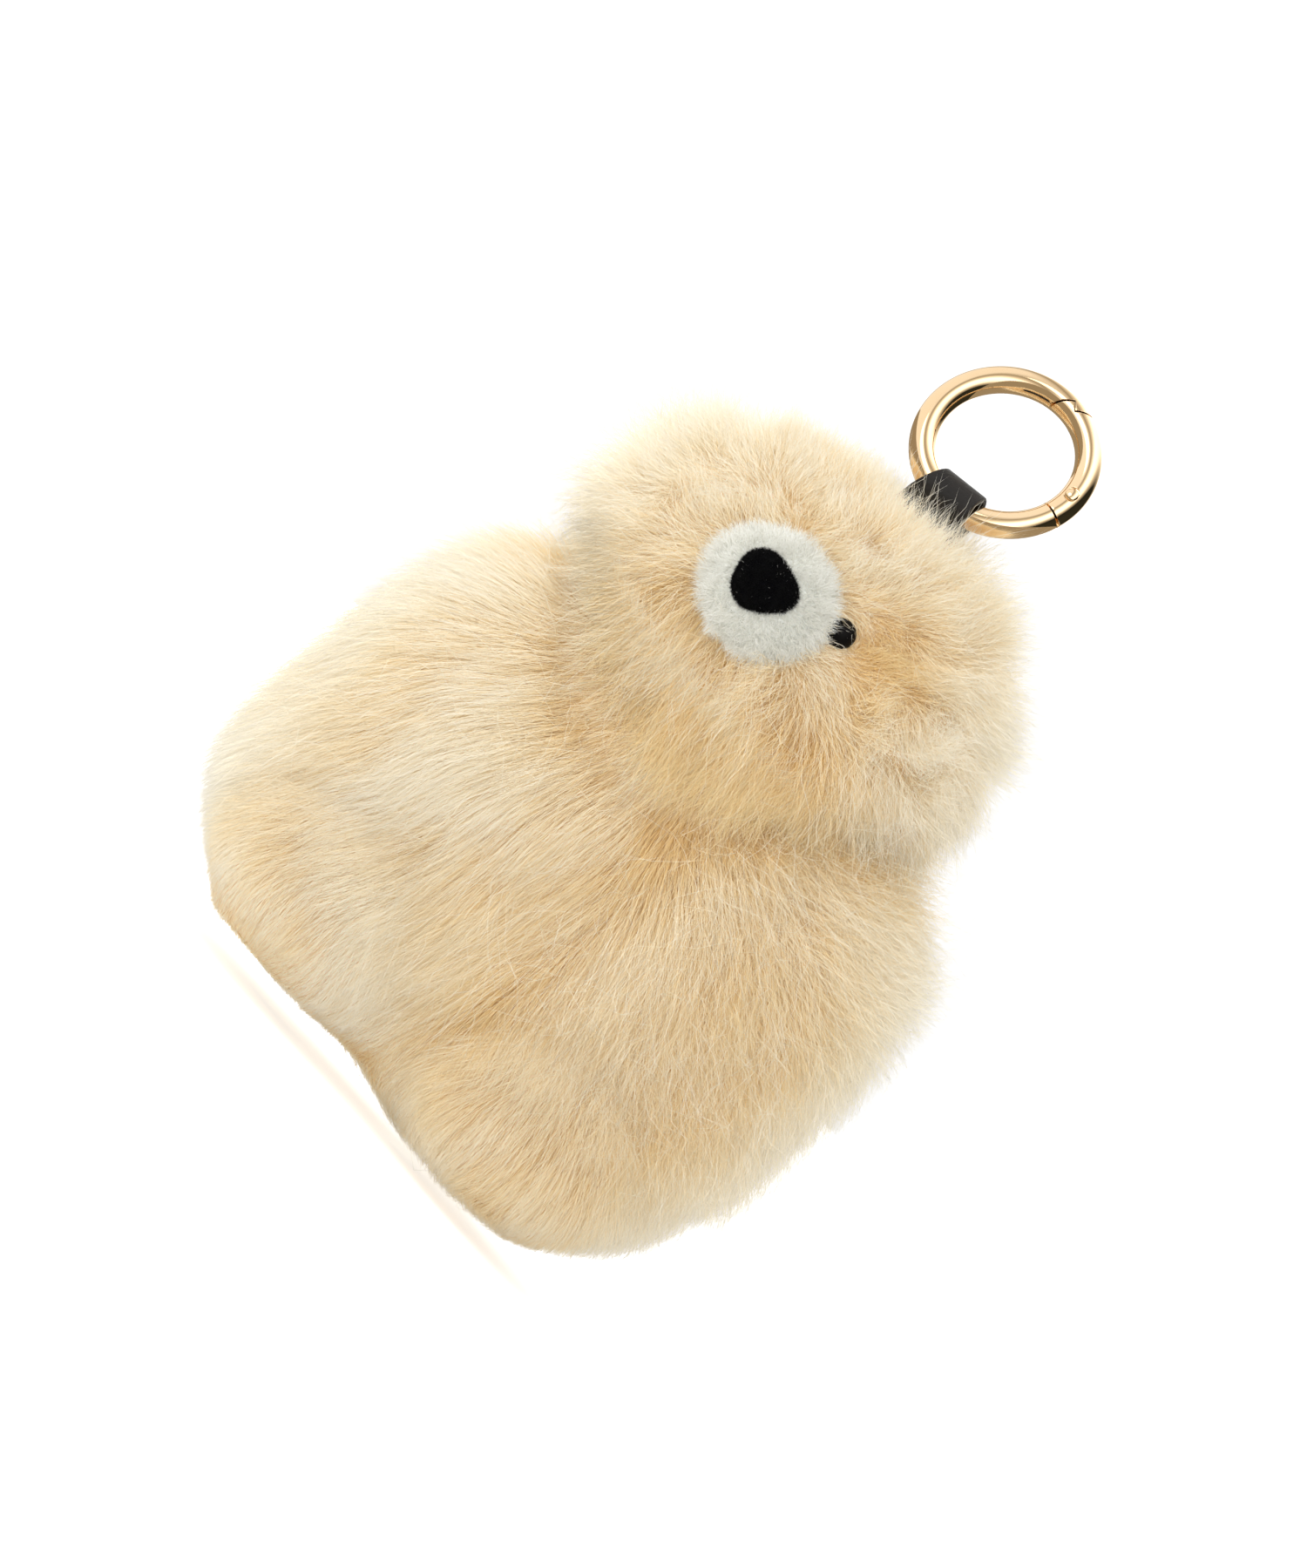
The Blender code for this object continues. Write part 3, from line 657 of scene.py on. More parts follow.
def above_bib(points):
    """How far a point lies above the bib's lower edge, which is a wide U."""
    off = (points[:, 0] - BIB_X) / MM
    return points[:, 2] - BIB_LOW - BIB_CURVE * off ** 2 * MM


def underside(points):
    """The height of the fur's lower edge, which is two rounded lobes side by side."""
    height = np.full(len(points), LOBE_TOP)
    for middle, half, low in LOBES:
        across = (points[:, 0] - middle) / half
        deep = (points[:, 1] - BODY.centre[1]) / LOBE_DEPTH
        round_part = np.sqrt(np.maximum(1 - across ** 2 - deep ** 2, 0))
        height = np.minimum(height, LOBE_TOP - (LOBE_TOP - low) * round_part)
    return height


def shorten(path, share):
    return path[:, :1] + (path - path[:, :1]) * np.reshape(share, (-1, 1, 1))


def trim(path, rng):
    """Cuts down whole hairs that would pass the object's box or its two lower lobes."""
    root = path[:, :1]
    reach = path - root
    over = (FUR_HIGH - root) / np.maximum(reach, TINY)
    under = (root - FUR_LOW) / np.maximum(-reach, TINY)
    share = np.minimum(over, under).min(axis=(1, 2))
    tip = path[:, -1]
    floor = underside(tip)
    drop = np.maximum(path[:, 0, 2] - tip[:, 2], TINY)
    share = np.minimum(share, np.maximum((path[:, 0, 2] - floor) / drop, SHORTEST_CUT))
    ragged = np.where(share < 1, rng.uniform(0.6, 1.0, len(path)), 1.0)
    return shorten(path, np.minimum(share, 1) * ragged)


def head_parts(roots):
    """How much each root belongs to each part of the head, from 0 to 1."""
    share = HEAD.local(roots) / HEAD.radii
    right, ahead, up = share[:, 0], -share[:, 1], share[:, 2]
    part = SimpleNamespace()
    part.front = smooth(ahead, 0.2, 0.9)
    part.top = smooth(up, 0.35, 1.0)
    part.under = smooth(-up, 0.0, 0.7)
    part.chin = smooth(-up, -0.05, 0.45) * smooth(ahead, -0.1, 0.45)
    part.temple = part.top * smooth(right, 0.1, 0.45)
    part.jaw = smooth(-up, -0.1, 0.5) * smooth(-right, 0.4, 0.9)
    part.side = smooth(np.abs(right), 0.5, 0.95) * (1 - part.under)
    # The right cheek, the right underside and the neck only deepen the hair's tint, as painted shade; the
    # eye's hollow also shortens the hair and deepens its tint as painted shade.
    part.right_cheek = smooth(right, 0.1, 0.7) * part.front
    part.right_under = part.under * (0.35 + 0.75 * smooth(right, -0.1, 0.5))
    part.neck = 1 - smooth(BODY.level(roots), 1.0, 1.35)
    part.hollow = near(roots, HOLLOW, 12 * MM)
    part.eye = near(roots, EYE["right"], 6.5 * MM)
    part.crown = near(roots, HEAD.world(HEAD.radii * (0.38, 0.0, 0.92)), 17 * MM)
    part.cheek = near(roots, HEAD.world(HEAD.radii * (-0.95, 0.0, 0.25)), 20 * MM)
    part.strap = near(roots, HEAD.world(HEAD.radii * (-0.05, -0.1, 0.99)), 9 * MM)
    part.tuft = near(roots, HEAD.world(HEAD.radii * (-0.97, 0.0, 0.12)), 10 * MM)
    return part


def head_length(roots, part, loose, rng):
    """Short on the face and round the eye, long at the crown and cheek, and hanging at the chin."""
    length = 13.0 - 5.0 * part.front - 4.5 * part.top * (1 - part.front) + 2.5 * part.temple
    length += 6.5 * part.crown + 6.0 * part.cheek + 7.0 * part.tuft - 7.5 * part.jaw
    length *= (1 - 0.35 * part.hollow) * (1 - 0.35 * part.strap * (1 - loose) + 0.5 * part.strap * loose)
    length *= 1 - 0.8 * part.eye
    hang = np.clip(above_bib(roots) / MM * 1.25 + 5, 8, 32) * rng.uniform(0.45, 1.0, len(roots))
    length = MM * (length * (1 - part.chin) + hang * part.chin)
    return length * (1 + varied(roots, 0.16, 8 * MM, 11, 0.12, rng) + 0.30 * loose)


def head_tint(roots, path, part, loose, rng):
    """Paler at the sides and in loose hairs. Painted shade deepens the tint in the eye's hollow, at the bib's
    lower edge, round the neck and on the right cheek and right underside, which face away from the light.
    """
    edge = 1 - smooth(np.abs(above_bib(path[:, -1])), 0, 7 * MM)
    tint = 0.74 + varied(roots, 0.16, 9 * MM, 15, 0.14, rng) + 0.5 * loose
    # painted shade: deeper tint in the eye's hollow, at the bib's edge, round the neck and on the right,
    # where shade falls
    tint += 0.06 * part.top + 0.40 * part.side - 0.95 * part.hollow - 0.08 * part.chin
    tint -= 0.22 * edge * part.chin + 0.55 * part.neck * (1 - part.chin)
    return tint - 0.15 * part.right_cheek - part.right_under


def head_fur(base, count, stations, loose, rng):
    roots, normals = scatter(base, count, rng)
    keep = (MUZZLE.level(roots, -1.2 * MM) > 1) & (BODY.level(roots) > 0.9)
    roots, normals = roots[keep], normals[keep]
    part = head_parts(roots)
    length = head_length(roots, part, loose, rng)
    outward = along_surface(roots - MUZZLE.centre, normals)
    tuft = swirl(roots, 7 * MM, 12)
    comb = outward + 0.8 * tuft - UP * column(0.45 * (1 - part.top) + 1.6 * part.chin)
    comb = along_surface(comb, normals)
    lift = column(0.60 + 0.2 * part.top - 0.34 * part.chin)
    start = unit(normals * lift + comb * (1 - lift) + 0.2 * tuft)
    end = normals * (lift - 0.15) + comb * (1.1 - lift) + 0.35 * tuft - UP * column(0.9 * part.chin)
    path = grow(roots, start, unit(end), length, stations, rng, 0.20 + 0.15 * loose, 0.30)
    path = clump(path, min(9000, len(path) // 4), 0.15 * (1 - loose))
    path = clump(path, 1100, 0.06 * (1 - loose), 1.0)
    rise = column(smooth(roots[:, 2], 78 * MM, 98 * MM))
    path = drape(path, BODY, (3.0 + 3.0 * rise) * MM, (5.0 + 8.0 * rise) * MM)
    return path, head_tint(roots, path, part, loose, rng)


def body_parts(roots, normals):
    """How much each root belongs to each part of the body, and its way off the parting."""
    share = BODY.local(roots) / BODY.radii
    right, up = share[:, 0], share[:, 2]
    above = above_bib(roots)
    part = SimpleNamespace()
    part.front = smooth(-normals[:, 1], 0.0, 0.6)
    part.right = smooth(right, 0.1, 0.6)
    part.left = smooth(-right, 0.3, 0.9)
    part.high = smooth(up, 0.25, 0.9)
    part.low = smooth(-up, 0.25, 0.95)
    part.shoulder = part.right * part.high
    part.side = smooth(np.abs(normals[:, 0]), 0.5, 0.95)
    part.offset = valley_offset(roots)
    # The parting, the crease under the bib and the nape deepen the tint below as painted shade; the parting
    # also shortens the hair.
    part.parting = np.exp(-(part.offset / (6 * MM)) ** 2) * part.front
    part.bib = smooth(above, -3 * MM, 3 * MM) * smooth(-normals[:, 1], -0.2, 0.4)
    part.crease = np.exp(-(above / (4.5 * MM)) ** 2) * (0.3 + 0.7 * smooth(right, -0.1, 0.35))
    part.crease *= smooth(-roots[:, 1], -5 * MM, 10 * MM)
    part.nape = (1 - smooth(HEAD.level(roots), 1.1, 1.4)) * part.right
    return part


def body_comb(roots, normals, part):
    """Hair fans away from the neck, leans down, and turns aside from the parting."""
    away = unit(roots - (NECK + 10 * MM * UP))
    push = np.tanh(part.offset / (5 * MM)) * np.exp(-np.abs(part.offset) / (16 * MM)) * part.front
    sink = 0.45 * (1 - part.high) - 0.95 * part.shoulder + 0.6 * part.bib * (1 - part.right)
    comb = away + 0.24 * swirl(roots, 15 * MM, 21) + 0.15 * swirl(roots, 6 * MM, 24) - UP * column(sink)
    comb[:, 0] += 0.55 * push
    return along_surface(comb, normals)


def body_length(roots, part, loose, rng):
    """Long on the flanks, shorter low down and high up, and shortest under the bib."""
    length = 19.5 - 10 * part.low - 5.5 * part.high * (1 - part.right)
    length = MM * (length + 0.8 * part.shoulder - 1.5 * part.left * part.low)
    length *= (1 - 0.25 * part.parting) * (1 - 0.65 * part.bib * (1 - part.right))
    return length * (1 + varied(roots, 0.13, 12 * MM, 27, 0.12, rng) + 0.38 * loose)


def streaks(roots):
    """Fine streaks of colour that run up and down."""
    return 0.10 * waves(roots * (1.0, 1.0, 0.15), 2.2 * MM, 30)


def body_tint(roots, part, loose, rng):
    """Paler at the sides, low down and in loose hairs. Painted light makes the left side, which faces the
    light, a little paler, and painted shade deepens the tint along the parting, in the crease under the bib,
    at the nape by the head on the right, and over the front of the right lobe, which faces away from the
    light.
    """
    tint = 0.73 + varied(roots, 0.20, 12 * MM, 28, 0.14, rng) + streaks(roots)
    # painted light and shade: the left side is made a little paler where the light falls, and the parting,
    # the crease, the nape and the front of the right lobe are made deeper where shade falls
    tint += 0.22 * part.low + 0.08 * part.left + 0.45 * part.side + 0.7 * loose
    tint -= 0.42 * part.parting + 0.50 * part.crease + 0.45 * part.nape
    return tint - 0.34 * part.right * part.front * (1 - part.side) * (1 - part.high)


def body_fur(base, count, stations, loose, rng):
    roots, normals = scatter(base, count, rng)
    keep = HEAD.level(roots, 0.5 * MM) > 1
    for leg in LEGS.values():
        keep &= leg.level(roots) > 0.98
    right = BODY.local(roots)[:, 0] / BODY.radii[0]
    keep &= rng.random(len(roots)) > 0.6 * loose * (1 - smooth(right, -0.1, 0.5))
    roots, normals = roots[keep], normals[keep]
    part = body_parts(roots, normals)
    comb = body_comb(roots, normals, part)
    length = body_length(roots, part, loose, rng)
    chest = part.bib * (1 - part.right)
    lift = column(0.46 + 0.12 * part.high + 0.06 * part.right - 0.30 * chest + 0.16 * loose)
    start = unit(normals * lift + comb * (1 - lift))
    end = unit(normals * column(0.20 + 0.10 * part.right - 0.15 * chest) + comb * 0.95 - UP * 0.10)
    wild = 0.09 + 0.20 * part.right + (0.35 + 0.20 * part.right) * loose
    frizz = 0.09 + 0.26 * part.right + (0.15 + 0.25 * part.right) * loose
    path = grow(roots, start, end, length, stations, rng, wild, frizz)
    path = clump(path, min(12000, len(path) // 4), 0.16 * (1 - loose))
    path = clump(path, 1200, 0.06 * (1 - loose), 1.0)
    for form in LEGS.values():
        path = drape(path, form, 1.5 * MM, 6.0 * MM)
    path = drape(path, HEAD, 1.0 * MM, 7.0 * MM)
    return path, body_tint(roots, part, loose, rng)


def leg_fur(base, form, count, stations, rng):
    roots, normals = scatter(base, count, rng)
    keep = BODY.level(roots) > 0.98
    roots, normals = roots[keep], normals[keep]
    side = np.sign(form.centre[0])
    source = form.centre + np.array((-side * 4 * MM, 6 * MM, 34 * MM))
    low = smooth(form.centre[2] - roots[:, 2], -6 * MM, 12 * MM)
    comb = along_surface(unit(roots - source) - 0.5 * UP + 0.25 * swirl(roots, 10 * MM, 31), normals)
    length = MM * (14 - 6.0 * low) * (1 + varied(roots, 0.16, 9 * MM, 34, 0.12, rng))
    lift = column(0.22 + 0.25 * low)
    start = unit(normals * lift + comb * (1 - lift))
    end = unit(normals * 0.22 + comb * 0.9 - UP * 0.05)
    path = grow(roots, start, end, length, stations, rng, 0.12, 0.09)
    path = clump(path, min(1500, len(path) // 4), 0.2)
    tint = 0.66 + varied(roots, 0.20, 12 * MM, 28, 0.13, rng) + streaks(roots)
    # painted shade: hair is made deeper on the right, the side away from the light
    tint -= 0.12 * smooth(roots[:, 0], 5 * MM, 25 * MM)
    return path, tint


def wear(obj, material):
    obj.data.materials.clear()
    obj.data.materials.append(material)


def dress(obj, material, slot, body, *nodes):
    """Gives a piece its material and its body, in place of CAD nodes."""
    wear(obj, material)
    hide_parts(*nodes)
    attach(obj, body)


def ride_all(pieces, body):
    for piece in pieces:
        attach(piece, body)


def skin(form, name, body, *nodes):
    """The woven backing that the fur grows from, in place of CAD skins."""
    base = form.mesh(name)
    if form is BODY:
        dish_body(base)
    else:
        flatten(base, SEAT_Z)
    dress(base, UNDERCOAT, "plush_fabric", body, *nodes)
    return base


def build_layer(layer, head, body):
    """One layer of fur over head and body."""
    name, stations, radius, reach, loose, part = layer
    rng = np.random.default_rng(stations)
    share = FUR_SHARE * part
    growths = (("head", HEAD, head_fur(head, int(HEAD_HAIRS * share), stations, loose, rng)),
               ("body", BODY, body_fur(body, int(BODY_HAIRS * share), stations, loose, rng)))
    for word, form, (path, tint) in growths:
        path = trim(shorten(path, reach), rng)
        title = f"fur_{word}_{name}"
        for piece in coat(title, path, radius * THICK, tint - (1 - reach), FUR, form.centre):
            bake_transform(piece)


def build_leg(word, form):
    """A leg's backing with its underfur and overcoat."""
    base = skin(form, "backing_leg_" + word, "torso", "leg_skin_" + word)
    for name, stations, radius, reach, _, part in LAYERS[:2]:
        rng = np.random.default_rng(stations + 50)
        path, tint = leg_fur(base, form, int(LEG_HAIRS * FUR_SHARE * part), stations, rng)
        path = trim(shorten(path, reach), rng)
        pieces = coat(f"fur_leg_{word}_{name}", path, radius * THICK, tint, FUR, form.centre)
        ride_all(pieces, "torso")


def build_coat():
    """A short dense underfur, a long fine overcoat and a few loose wisps on head and body."""
    head = skin(HEAD, "backing_head", "head", "head_skin_front", "head_skin_back")
    body = skin(BODY, "backing_body", "torso", "body_skin_front", "body_skin_back")
    for layer in LAYERS:
        build_layer(layer, head, body)
    for word, form in LEGS.items():
        build_leg(word, form)


def flatten(obj, height):
    points = read_points(obj.data)
    points[:, 2] = np.maximum(points[:, 2], height)
    write_points(obj.data, points)


def dish_body(obj):
    """Sinks the top of the body clear of the head, and flattens its seat."""
    points = read_points(obj.data)
    spot = HEAD.local(points)
    wide = HEAD.radii + NECK_GAP
    flat = 1 - (spot[:, 0] / wide[0]) ** 2 - (spot[:, 1] / wide[1]) ** 2
    drop = HEAD.centre[2] - wide[2] * np.sqrt(np.maximum(flat, 0))
    inside = (flat > 0) & (points[:, 2] > drop)
    points[inside, 2] = drop[inside]
    points[:, 2] = np.maximum(points[:, 2], SEAT_Z)
    write_points(obj.data, points)


# Face

def build_muzzle(rng):
    """A round pad under short white pile, which is a little longer at its rim."""
    pad = MUZZLE.mesh("muzzle_backing", 64, 32)
    dress(pad, MUZZLE_SKIN, "muzzle_pile", "head", "muzzle_patch")
    roots, normals = scatter(pad, int(MUZZLE_HAIRS * FUR_SHARE), rng)
    keep = HEAD.level(roots) > 0.99
    roots, normals = roots[keep], normals[keep]
    tuft = swirl(roots, 3 * MM, 41)
    rim = smooth(np.linalg.norm(MUZZLE.local(roots)[:, (0, 2)], axis=1), 6 * MM, 12 * MM)
    start = unit(normals + 0.30 * tuft)
    end = unit(normals + 0.60 * tuft - 0.1 * UP)
    length = MM * (1.9 + 0.9 * rim) * (1 + varied(roots, 0.25, 2.5 * MM, 44, 0.28, rng))
    path = grow(roots, start, end, length, 4, rng, 0.45, 0.30)
    path = clump(path, min(2600, len(path) // 4), 0.35)
    tint = 0.55 + varied(roots, 0.25, 2.5 * MM, 45, 0.25, rng)
    pieces = coat("muzzle_pile", path, FACE_HAIR_R * THICK, tint, MUZZLE_FUR, MUZZLE.centre)
    ride_all(pieces, "head")


def nose_outline():
    """A rounded triangle, point down and turned a little, as (across, up) shares of its half-size."""
    count = 72
    points = []
    for i in range(count):
        angle = 2 * pi * i / count
        reach = 1 + 0.085 * sin(3 * (angle + NOSE_TURN))
        points.append((reach * cos(angle), reach * sin(angle)))
    return points


def on_muzzle(x, z, height):
    """A point at a place across and up on the muzzle, some height in front of it."""
    flat = 1 - (x / MUZZLE.radii[0]) ** 2 - (z / MUZZLE.radii[2]) ** 2
    y = -MUZZLE.radii[1] * sqrt(max(flat, 0.02)) - height
    return MUZZLE.world(np.array([[x, y, z]]))[0]


def nose_felt():
    """Rows of the nose's outline, each dropped onto the muzzle's curve."""
    outline = nose_outline()
    shape = bmesh.new()
    rows = []
    for share, height in NOSE_ROWS:
        row = []
        for u, v in outline:
            x = u * NOSE_HALF[0] * share + NOSE_SHIFT
            z = v * NOSE_HALF[1] * share + NOSE_LIFT
            row.append(shape.verts.new(on_muzzle(x, z, (height + 0.5) * MM)))
        rows.append(row)
    count = len(outline)
    for low, high in zip(rows, rows[1:]):
        for i in range(count):
            n = (i + 1) % count
            shape.faces.new((low[i], low[n], high[n], high[i]))
    shape.faces.new(rows[-1])
    shape.faces.new(list(reversed(rows[0])))
    bmesh.ops.recalc_face_normals(shape, faces=shape.faces)
    return place_shape(shape, "nose")


def build_nose(rng):
    """Felt laid over the muzzle, with a fine fuzz of its own."""
    nose = nose_felt()
    dress(nose, FELT, "black_felt", "head", "nose_felt")
    roots, normals = scatter(nose, int(NOSE_HAIRS * FUR_SHARE), rng)
    way = unit(normals + 0.6 * rng.normal(size=normals.shape))
    path = grow(roots, way, way, MM * rng.uniform(0.3, 0.75, len(roots)), 3, rng, 0.3, 0.2)
    tint = rng.random(len(roots))
    pieces = coat("nose_fuzz", path, FACE_HAIR_R, tint, NOSE_FUZZ, MUZZLE.centre)
    ride_all(pieces, "head")


def build_eye(word, depth):
    """A bead, a little flattened, with its middle some depth under the head's surface."""
    spot = EYE[word]
    outward = unit((HEAD.local(spot[None]) / HEAD.radii ** 2) @ HEAD.turn.T)[0]
    eye = ball("eye_bead_" + word, 48, 24)
    turn = Vector(outward).to_track_quat("Z", "Y").to_matrix().to_4x4()
    flatter = Matrix.Diagonal((EYE_R, EYE_R, 0.85 * EYE_R, 1))
    eye.data.transform(Matrix.Translation(spot - outward * depth) @ turn @ flatter)
    dress(eye, BEAD, "eye_bead", "head", "eye_" + word)


def build_face():
    """The right bead shows among the hairs. The left one sits deeper, under the fur."""
    rng = np.random.default_rng(17)
    build_muzzle(rng)
    build_nose(rng)
    for word, depth in EYE_DEPTHS:
        build_eye(word, depth)


# Ring

def ring_frame():
    """The ring's frame, +Z towards the front along its axis, and its radius and pivot angle."""
    low, high = joined_box("ring_body", "ring_gate")
    centre = (low + high) / 2
    normal = Vector(joint("gate_open")["axis"]).normalized()
    first = Vector((0, 1, 0)).cross(normal).normalized()
    turn = Matrix((first, normal.cross(first), normal)).transposed().to_4x4()
    place_at = Matrix.Translation(centre) @ turn
    wire = place_at.inverted() @ Vector(joint("ring_swing")["pos_m"])
    pivot = place_at.inverted() @ Vector(joint("gate_open")["pos_m"])
    return place_at, wire.xy.length, atan2(pivot.y, pivot.x)


RING_PLACE, RING_R, PIVOT_AT = ring_frame()


def on_ring(angle, radius=None):
    radius = radius or RING_R
    return Vector((radius * cos(angle), radius * sin(angle)))


def arc(centre, radius, start, end, steps):
    turn = (end - start) / steps
    angles = [start + turn * i for i in range(steps + 1)]
    return [(centre[0] + radius * cos(a), centre[1] + radius * sin(a)) for a in angles]


def gate_outline(seam, latch):
    """The gate's share of the ring's plane, grown by the width of the line at each end."""
    pivot = on_ring(PIVOT_AT)
    tip = on_ring(LATCH_AT) - pivot
    tip_angle = atan2(tip.y, tip.x)
    long_reach = tip.length + LATCH_STEP + latch
    short_reach = tip.length - LATCH_STEP + latch
    inner = RING_R - 2 * WIRE_R
    outer = RING_R + 2 * WIRE_R
    spread = radians(20)
    tail = SEAM_AT - seam / RING_R
    step = latch / 2 / long_reach
    start = [tuple(on_ring(tail, outer / cos(spread / 2)))]
    outside = arc((0, 0), outer, tail + spread / 2, LATCH_AT - spread, 12)
    nose = arc(pivot, short_reach, tip_angle - spread, tip_angle - step, 24)
    hook = arc(pivot, long_reach, tip_angle - step, tip_angle + spread, 24)
    inside = arc((0, 0), inner, LATCH_AT + spread / 2, tail, 24)
    return start + outside + nose + hook + inside


def prism(outline, half_depth):
    shape = bmesh.new()
    corners = [shape.verts.new((x, y, -half_depth)) for x, y in outline]
    face = shape.faces.new(corners)
    raised = bmesh.ops.extrude_face_region(shape, geom=[face])["geom"]
    moved = [item for item in raised if isinstance(item, bmesh.types.BMVert)]
    bmesh.ops.translate(shape, verts=moved, vec=(0, 0, 2 * half_depth))
    bmesh.ops.recalc_face_normals(shape, faces=shape.faces)
    return place_shape(shape, "prism")


def torus():
    bpy.ops.mesh.primitive_torus_add(
        major_radius=RING_R, minor_radius=WIRE_R, major_segments=220, minor_segments=48)
    obj = bpy.context.object
    obj.data.shade_smooth()
    return obj


def cylinder(radius, low, high):
    bpy.ops.mesh.primitive_cylinder_add(vertices=64, radius=radius, depth=high - low)
    obj = bpy.context.object
    obj.data.transform(Matrix.Translation((0, 0, (low + high) / 2)))
    return obj


def cut(obj, other, operation="DIFFERENCE"):
    step = obj.modifiers.new("cut", "BOOLEAN")
    step.operation = operation
    step.object = other
    bake(obj)
    bpy.data.objects.remove(other)


def bake(obj):
    """Applies an object's modifiers to its mesh."""
    bpy.context.view_layer.update()
    graph = bpy.context.evaluated_depsgraph_get()
    mesh = bpy.data.meshes.new_from_object(obj.evaluated_get(graph))
    obj.modifiers.clear()
    obj.data = mesh


def bevel(obj, width, segments, sharpest):
    edge = obj.modifiers.new("edge", "BEVEL")
    edge.width = width
    edge.segments = segments
    edge.limit_method = "ANGLE"
    edge.angle_limit = sharpest


def finish_metal(obj, name, body, node):
    """Softens the cut edges, shades the piece and puts it in the row's frame."""
    bevel(obj, METAL_EDGE, 2, radians(40))
    bake(obj)
    obj.data.transform(RING_PLACE)
    obj.data.shade_smooth()
    obj.data.set_sharp_from_angle(angle=radians(50))
    obj.name = name
    dress(obj, GOLD, "ring_gold", body, node)


def build_rivet(pivot):
    """Two domed heads on a thin shank, turned from one profile."""
    lip = RIVET_SEAT + 0.1 * MM
    profile = [(RIVET_HEAD_R * sin(a), RIVET_SEAT + RIVET_DOME * cos(a)) for a in np.linspace(0, pi / 2, 9)]
    profile += [(RIVET_HEAD_R, lip), (RIVET_SHANK_R, lip)]
    profile += [(r, -z) for r, z in reversed(profile)]
    mesh = bpy.data.meshes.new("rivet")
    mesh.from_pydata([(r, 0, z) for r, z in profile], [(i, i + 1) for i in range(len(profile) - 1)], [])
    rivet = place(mesh, "rivet")
    turn = rivet.modifiers.new("turn", "SCREW")
    turn.steps = 48
    turn.render_steps = 48
    turn.use_merge_vertices = True
    turn.merge_threshold = 0.000001
    bake(rivet)
    rivet.data.transform(pivot)
    finish_metal(rivet, "rivet", "gate", "gate_rivet")


def build_ring():
    """The fixed arc and its gate are cut from one torus by the gate's outline."""
    ring = torus()
    cut(ring, prism(gate_outline(SEAM_LINE, LATCH_LINE), 2 * WIRE_R))
    finish_metal(ring, "ring_arc", "ring", "ring_body")

    gate = torus()
    cut(gate, prism(gate_outline(0, 0), 2 * WIRE_R), "INTERSECT")
    pivot = Matrix.Translation((*on_ring(PIVOT_AT), 0))
    for low, high in ((RIVET_SEAT, 2 * WIRE_R), (-2 * WIRE_R, -RIVET_SEAT)):
        seat = cylinder(RIVET_HEAD_R + RIVET_ROOM, low, high)
        seat.data.transform(pivot)
        cut(gate, seat)
    finish_metal(gate, "gate_arm", "gate", "ring_gate")
    build_rivet(pivot)


# Strap

def strap_frame():
    """The strap's frame: origin on the wire, +X along it, +Y to the back."""
    hinge = joint("ring_swing")
    wire = Vector(hinge["axis"]).normalized()
    back = Vector((0, 0, 1)).cross(wire).normalized()
    turn = Matrix((wire, back, wire.cross(back))).transposed().to_4x4()
    return Matrix.Translation(hinge["pos_m"]) @ turn


def strap_path():
    """The strap from its edge, as (back, up): up the front, over the wire and down the back."""
    middle_r = LOOP_R + LEATHER / 2
    side = (LEATHER + STRAP_GAP) / 2
    pinch = (-side, PINCH_Z)
    reach = sqrt(pinch[0] ** 2 + pinch[1] ** 2)
    touch = atan2(pinch[1], pinch[0]) + 2 * pi - acos(middle_r / reach)
    over = arc((0, 0), middle_r, touch, pi - touch, 40)
    steps = 8
    fall = [PINCH_Z + (STRAP_END_Z - PINCH_Z) * i / steps for i in range(steps, -1, -1)]
    front = [(-side, z) for z in fall]
    run = (over[0][0] - pinch[0], over[0][1] - pinch[1])
    leg = [(pinch[0] + run[0] * i / 6, pinch[1] + run[1] * i / 6) for i in range(1, 6)]
    back = [(-y, z) for y, z in reversed(front + leg)]
    return front + leg + over + back


def strap_width(z):
    """The strap's reach to each side at a height: it widens all the way down from its fold."""
    fall = LOOP_R + LEATHER - z
    return STRAP_HALF + STRAP_FLARE_LEFT * fall, STRAP_HALF + STRAP_FLARE_RIGHT * fall


def strap_strip():
    """A sheet of even squares that follows the strap's path at its width."""
    across = 14
    shape = bmesh.new()
    rows = []
    for y, z in strap_path():
        left, right = strap_width(z)
        rows.append([shape.verts.new((-left + (left + right) * i / across, y, z)) for i in range(across + 1)])
    for low, high in zip(rows, rows[1:]):
        for i in range(across):
            shape.faces.new((low[i], low[i + 1], high[i + 1], high[i]))
    return place_shape(shape, "strap")


def build_strap():
    """One thick strip with rounded edges."""
    strap = strap_strip()
    thick = strap.modifiers.new("thick", "SOLIDIFY")
    thick.thickness = LEATHER
    thick.offset = 0
    bevel(strap, STRAP_EDGE, 3, radians(50))
    bake(strap)
    at = strap_frame()
    strap.data.transform(at)
    wear(strap, LEATHER_SKIN)
    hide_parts("strap_loop", "strap_tail")
    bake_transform(strap)


# Inside pieces keep their CAD shapes

def finish_inside():
    finishes = (
        (FIBRE, "body_stuffing", "head_stuffing", "muzzle_stuffing"),
        (FIBRE, "leg_stuffing_left", "leg_stuffing_right"),
        (THREAD, "neck_thread", "strap_stitch"),
        (PLASTIC, "eye_washer_left", "eye_washer_right"),
        (STEEL, "gate_plunger", "gate_spring"),
    )
    for material, *nodes in finishes:
        for node in nodes:
            wear(frame["nodes"][node], material)


# Stage

def scaled(nodes, links, source, factor, offset):
    """A value times a factor, plus an offset."""
    node = nodes.new("ShaderNodeMath")
    node.operation = "MULTIPLY_ADD"
    fill(node, {1: factor, 2: offset})
    links.new(source, node.inputs[0])
    return node.outputs[0]


def either(nodes, links, test, no, yes):
    """One shader for the rays that fail a test and another for those that pass it."""
    mix = nodes.new("ShaderNodeMixShader")
    links.new(test, mix.inputs["Fac"])
    wire(links, no, 0, mix, 1)
    wire(links, yes, 0, mix, 2)
    return mix


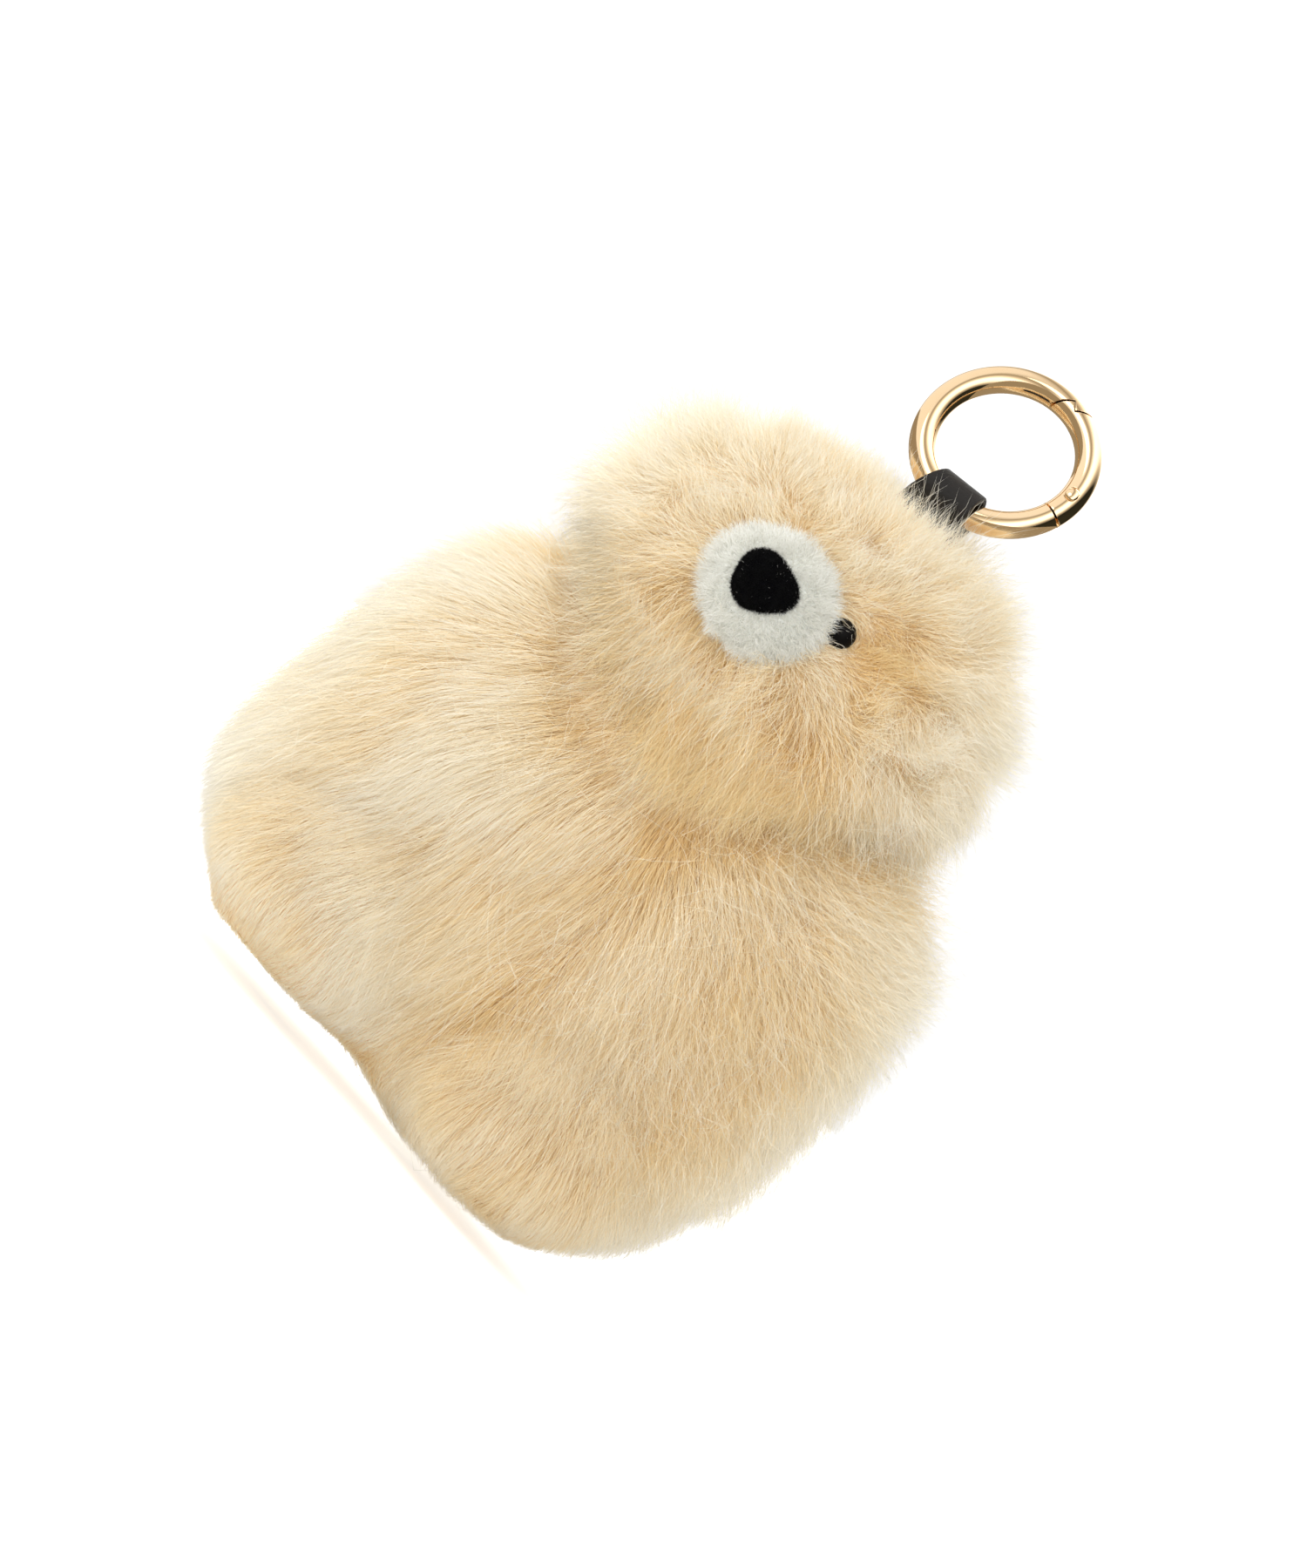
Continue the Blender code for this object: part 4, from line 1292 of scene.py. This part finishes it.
def build_stage():
    """A pale floor that glows to the eye, lights the fur a little and looks dark in polished metal."""
    bpy.ops.mesh.primitive_plane_add(size=8.0, location=(0, 0, FLOOR_Z))
    floor = bpy.context.object
    floor.name = "floor"
    material, nodes, links = new_material("pale_floor")
    shader = nodes["Principled BSDF"]
    fill(shader, {"Base Color": FLOOR_COLOUR, "Roughness": 0.9, "Specular IOR Level": 0.0})
    fill(shader, {"Emission Color": WHITE})
    dark = nodes.new("ShaderNodeEmission")
    fill(dark, {"Color": FLOOR_MIRRORED})
    ray = nodes.new("ShaderNodeLightPath")
    glow = scaled(nodes, links, ray.outputs["Is Camera Ray"], FLOOR_GLOW_SEEN, FLOOR_GLOW)
    links.new(glow, shader.inputs["Emission Strength"])
    look = either(nodes, links, ray.outputs["Is Glossy Ray"], shader, dark)
    links.new(look.outputs[0], nodes["Material Output"].inputs["Surface"])
    floor.data.materials.append(material)


def background(nodes, links, source, stops, strength):
    """A world colour that runs through stops as the source goes from -1 to 1."""
    bands = ramp(nodes, stops)
    links.new(scaled(nodes, links, source, 0.5, 0.5), bands.inputs["Fac"])
    shade = nodes.new("ShaderNodeBackground")
    fill(shade, {"Strength": strength})
    wire(links, bands, "Color", shade, "Color")
    return shade


def build_world():
    """White to the eye, a soft light that is weak on the right, and bands for the metal to mirror."""
    world = bpy.data.worlds.new("studio")
    bpy.context.scene.world = world
    world.use_nodes = True
    nodes, links = world.node_tree.nodes, world.node_tree.links
    nodes.clear()
    output = nodes.new("ShaderNodeOutputWorld")
    where = nodes.new("ShaderNodeTexCoord")
    split = nodes.new("ShaderNodeSeparateXYZ")
    wire(links, where, "Generated", split, 0)
    white = nodes.new("ShaderNodeBackground")
    fill(white, {"Color": WHITE, "Strength": BACKDROP_LIGHT})
    soft = background(nodes, links, split.outputs["X"], SOFT_BANDS, SOFT_LIGHT)
    mirror = background(nodes, links, split.outputs["X"], MIRROR_BANDS, MIRROR_LIGHT)
    ray = nodes.new("ShaderNodeLightPath")
    lit = either(nodes, links, ray.outputs["Is Glossy Ray"], soft, mirror)
    seen = either(nodes, links, ray.outputs["Is Camera Ray"], lit, white)
    wire(links, seen, 0, output, "Surface")


def area_light(name, location, target, size, power, colour):
    data = bpy.data.lights.new(name, "AREA")
    data.shape = "DISK"
    data.size = size
    data.energy = power
    data.color = colour
    lamp = bpy.data.objects.new(name, data)
    bpy.context.scene.collection.objects.link(lamp)
    lamp.location = location
    lamp.rotation_euler = (Vector(target) - Vector(location)).to_track_quat("-Z", "Y").to_euler()


def build_camera():
    """Straight ahead, and rolled so that the upright part lies over."""
    data = bpy.data.cameras.new("camera")
    data.sensor_fit = "VERTICAL"
    data.sensor_height = SENSOR
    data.lens = SENSOR * CAMERA_DISTANCE / FRAME_HEIGHT
    camera = bpy.data.objects.new("camera", data)
    bpy.context.scene.collection.objects.link(camera)
    turn, lean = cos(CAMERA_ROLL), sin(CAMERA_ROLL)
    axes = Matrix(((turn, -lean, 0), (0, 0, -1), (lean, turn, 0)))
    camera.matrix_world = Matrix.Translation(AIM + Vector((0, -CAMERA_DISTANCE, 0))) @ axes.to_4x4()
    bpy.context.scene.camera = camera
    bpy.context.scene.view_settings.view_transform = "Standard"


build_coat()
build_face()
build_strap()
build_ring()
finish_inside()
build_stage()
build_world()
area_light("key", (-0.9, -0.9, 0.7), (0, 0, 0.07), 0.7, 1.8, (1.0, 0.99, 0.97))
build_camera()
